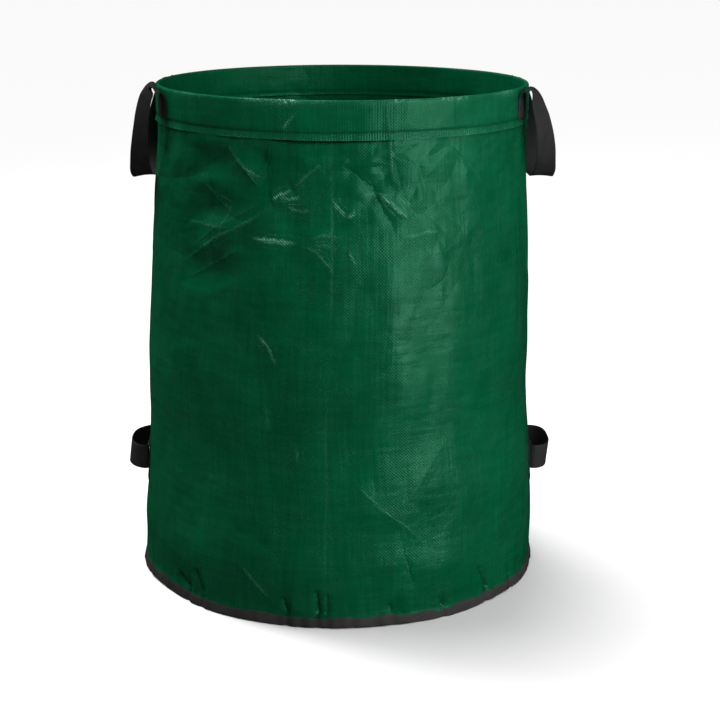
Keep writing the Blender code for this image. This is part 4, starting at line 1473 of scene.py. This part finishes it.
sewHem()
sewBinding()
for side, sign in sides:
    sewWallSeams(side, sign)
for side, sign in sides:
    for place, end in tabEnds:
        sewCarryTab(side, sign, place, end)
for side, sign in sides:
    for place, end in tabEnds:
        sewTippingEnd(side, sign, place, end)
    sewPatch(side, sign)
print("stitches made")


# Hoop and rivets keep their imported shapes
for node, material in (("rim_hoop", hoopPlastic), ("hoop_rivet_left", rivetMetal),
                       ("hoop_rivet_right", rivetMetal)):
    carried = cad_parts[node]
    carried.data.materials.clear()
    carried.data.materials.append(material)


# Studio: a plain pale floor and soft lights
studio = {
    "floorSize": 60.0,
    "world": (1.0, 0.150, 0.008),            # as seen, as it lights things, and in their gloss
    "floorShade": (0.62, 0.20, 0.004),
    "sun": {"watts": 5.0, "spread": 50, "from": (-143, 60)},      # degrees round from the front, and up
    "key": {"place": (1.81, -1.87, 1.03), "size": (1.5, 2.3), "watts": 34},
    "side": {"place": (2.5, -0.2, 1.10), "size": (1.0, 2.0), "watts": 27, "gloss": False},
    "fill": {"place": (0.75, -2.35, 2.60), "size": (1.4, 1.4), "watts": 59, "gloss": False},
    "left": {"place": (-2.20, 1.10, 1.90), "size": (0.8, 1.4), "watts": 62, "gloss": False},
    "low": {"place": (1.62, -1.66, 0.15), "size": (1.30, 0.26), "watts": 5},
    "aim": (0, 0, 0.42),
}


def makeFloor():
    bpy.ops.object.select_all(action="DESELECT")
    bpy.ops.mesh.primitive_plane_add(size=studio["floorSize"], location=(0, 0, 0))
    floor = bpy.context.active_object
    floor.name = "studioFloor"
    material, tree, shader = newMaterial("paleFloor", 0.9, 0.0)
    # the floor shows pale, and stays dim in what it throws back at the bag
    rays = addNode(tree, "LightPath")
    seen, thrown, mirrored = [(shade,) * 3 + (1,) for shade in studio["floorShade"]]
    colour = blendColours(tree, rays.outputs["Is Camera Ray"], thrown, seen)
    colour = blendColours(tree, rays.outputs["Is Glossy Ray"], colour, mirrored)
    tree.links.new(colour, shader.inputs["Base Color"])
    floor.data.materials.append(material)


def makeLight(name):
    facts = studio[name]
    bpy.ops.object.light_add(type="AREA", location=facts["place"])
    light = bpy.context.active_object
    light.name = name + "Light"
    light.data.shape = "RECTANGLE"
    light.data.size, light.data.size_y = facts["size"]
    light.data.energy = facts["watts"]
    light.visible_glossy = facts.get("gloss", True)
    aim = Vector(studio["aim"]) - Vector(facts["place"])
    light.rotation_euler = aim.to_track_quat("-Z", "Y").to_euler()


def makeSun():
    facts = studio["sun"]
    turn, up = [math.radians(angle) for angle in facts["from"]]
    shines = Vector((-math.sin(turn) * math.cos(up), math.cos(turn) * math.cos(up), -math.sin(up)))
    bpy.ops.object.light_add(type="SUN", location=(0, 0, 4),
                             rotation=shines.to_track_quat("-Z", "Y").to_euler())
    sun = bpy.context.active_object
    sun.name = "overheadLight"
    sun.data.energy = facts["watts"]
    sun.data.angle = math.radians(facts["spread"])
    sun.visible_glossy = False


def makeWorld():
    world = bpy.data.worlds.new("paleStudio")
    scene.world = world
    world.use_nodes = True
    tree = world.node_tree
    rays = addNode(tree, "LightPath")
    seen, thrown, mirrored = studio["world"]
    level = rangeOf(tree, rays.outputs["Is Camera Ray"], 0.0, 1.0, thrown, seen)
    level = rangeOf(tree, rays.outputs["Is Glossy Ray"], 0.0, 1.0, level, mirrored)
    tree.links.new(level, tree.nodes["Background"].inputs[1])
    tree.nodes["Background"].inputs[0].default_value = (1, 1, 1, 1)


makeFloor()
makeSun()
makeWorld()
for name in ("key", "side", "fill", "left", "low"):
    makeLight(name)
scene.view_settings.view_transform = "Standard"
print("studio made")
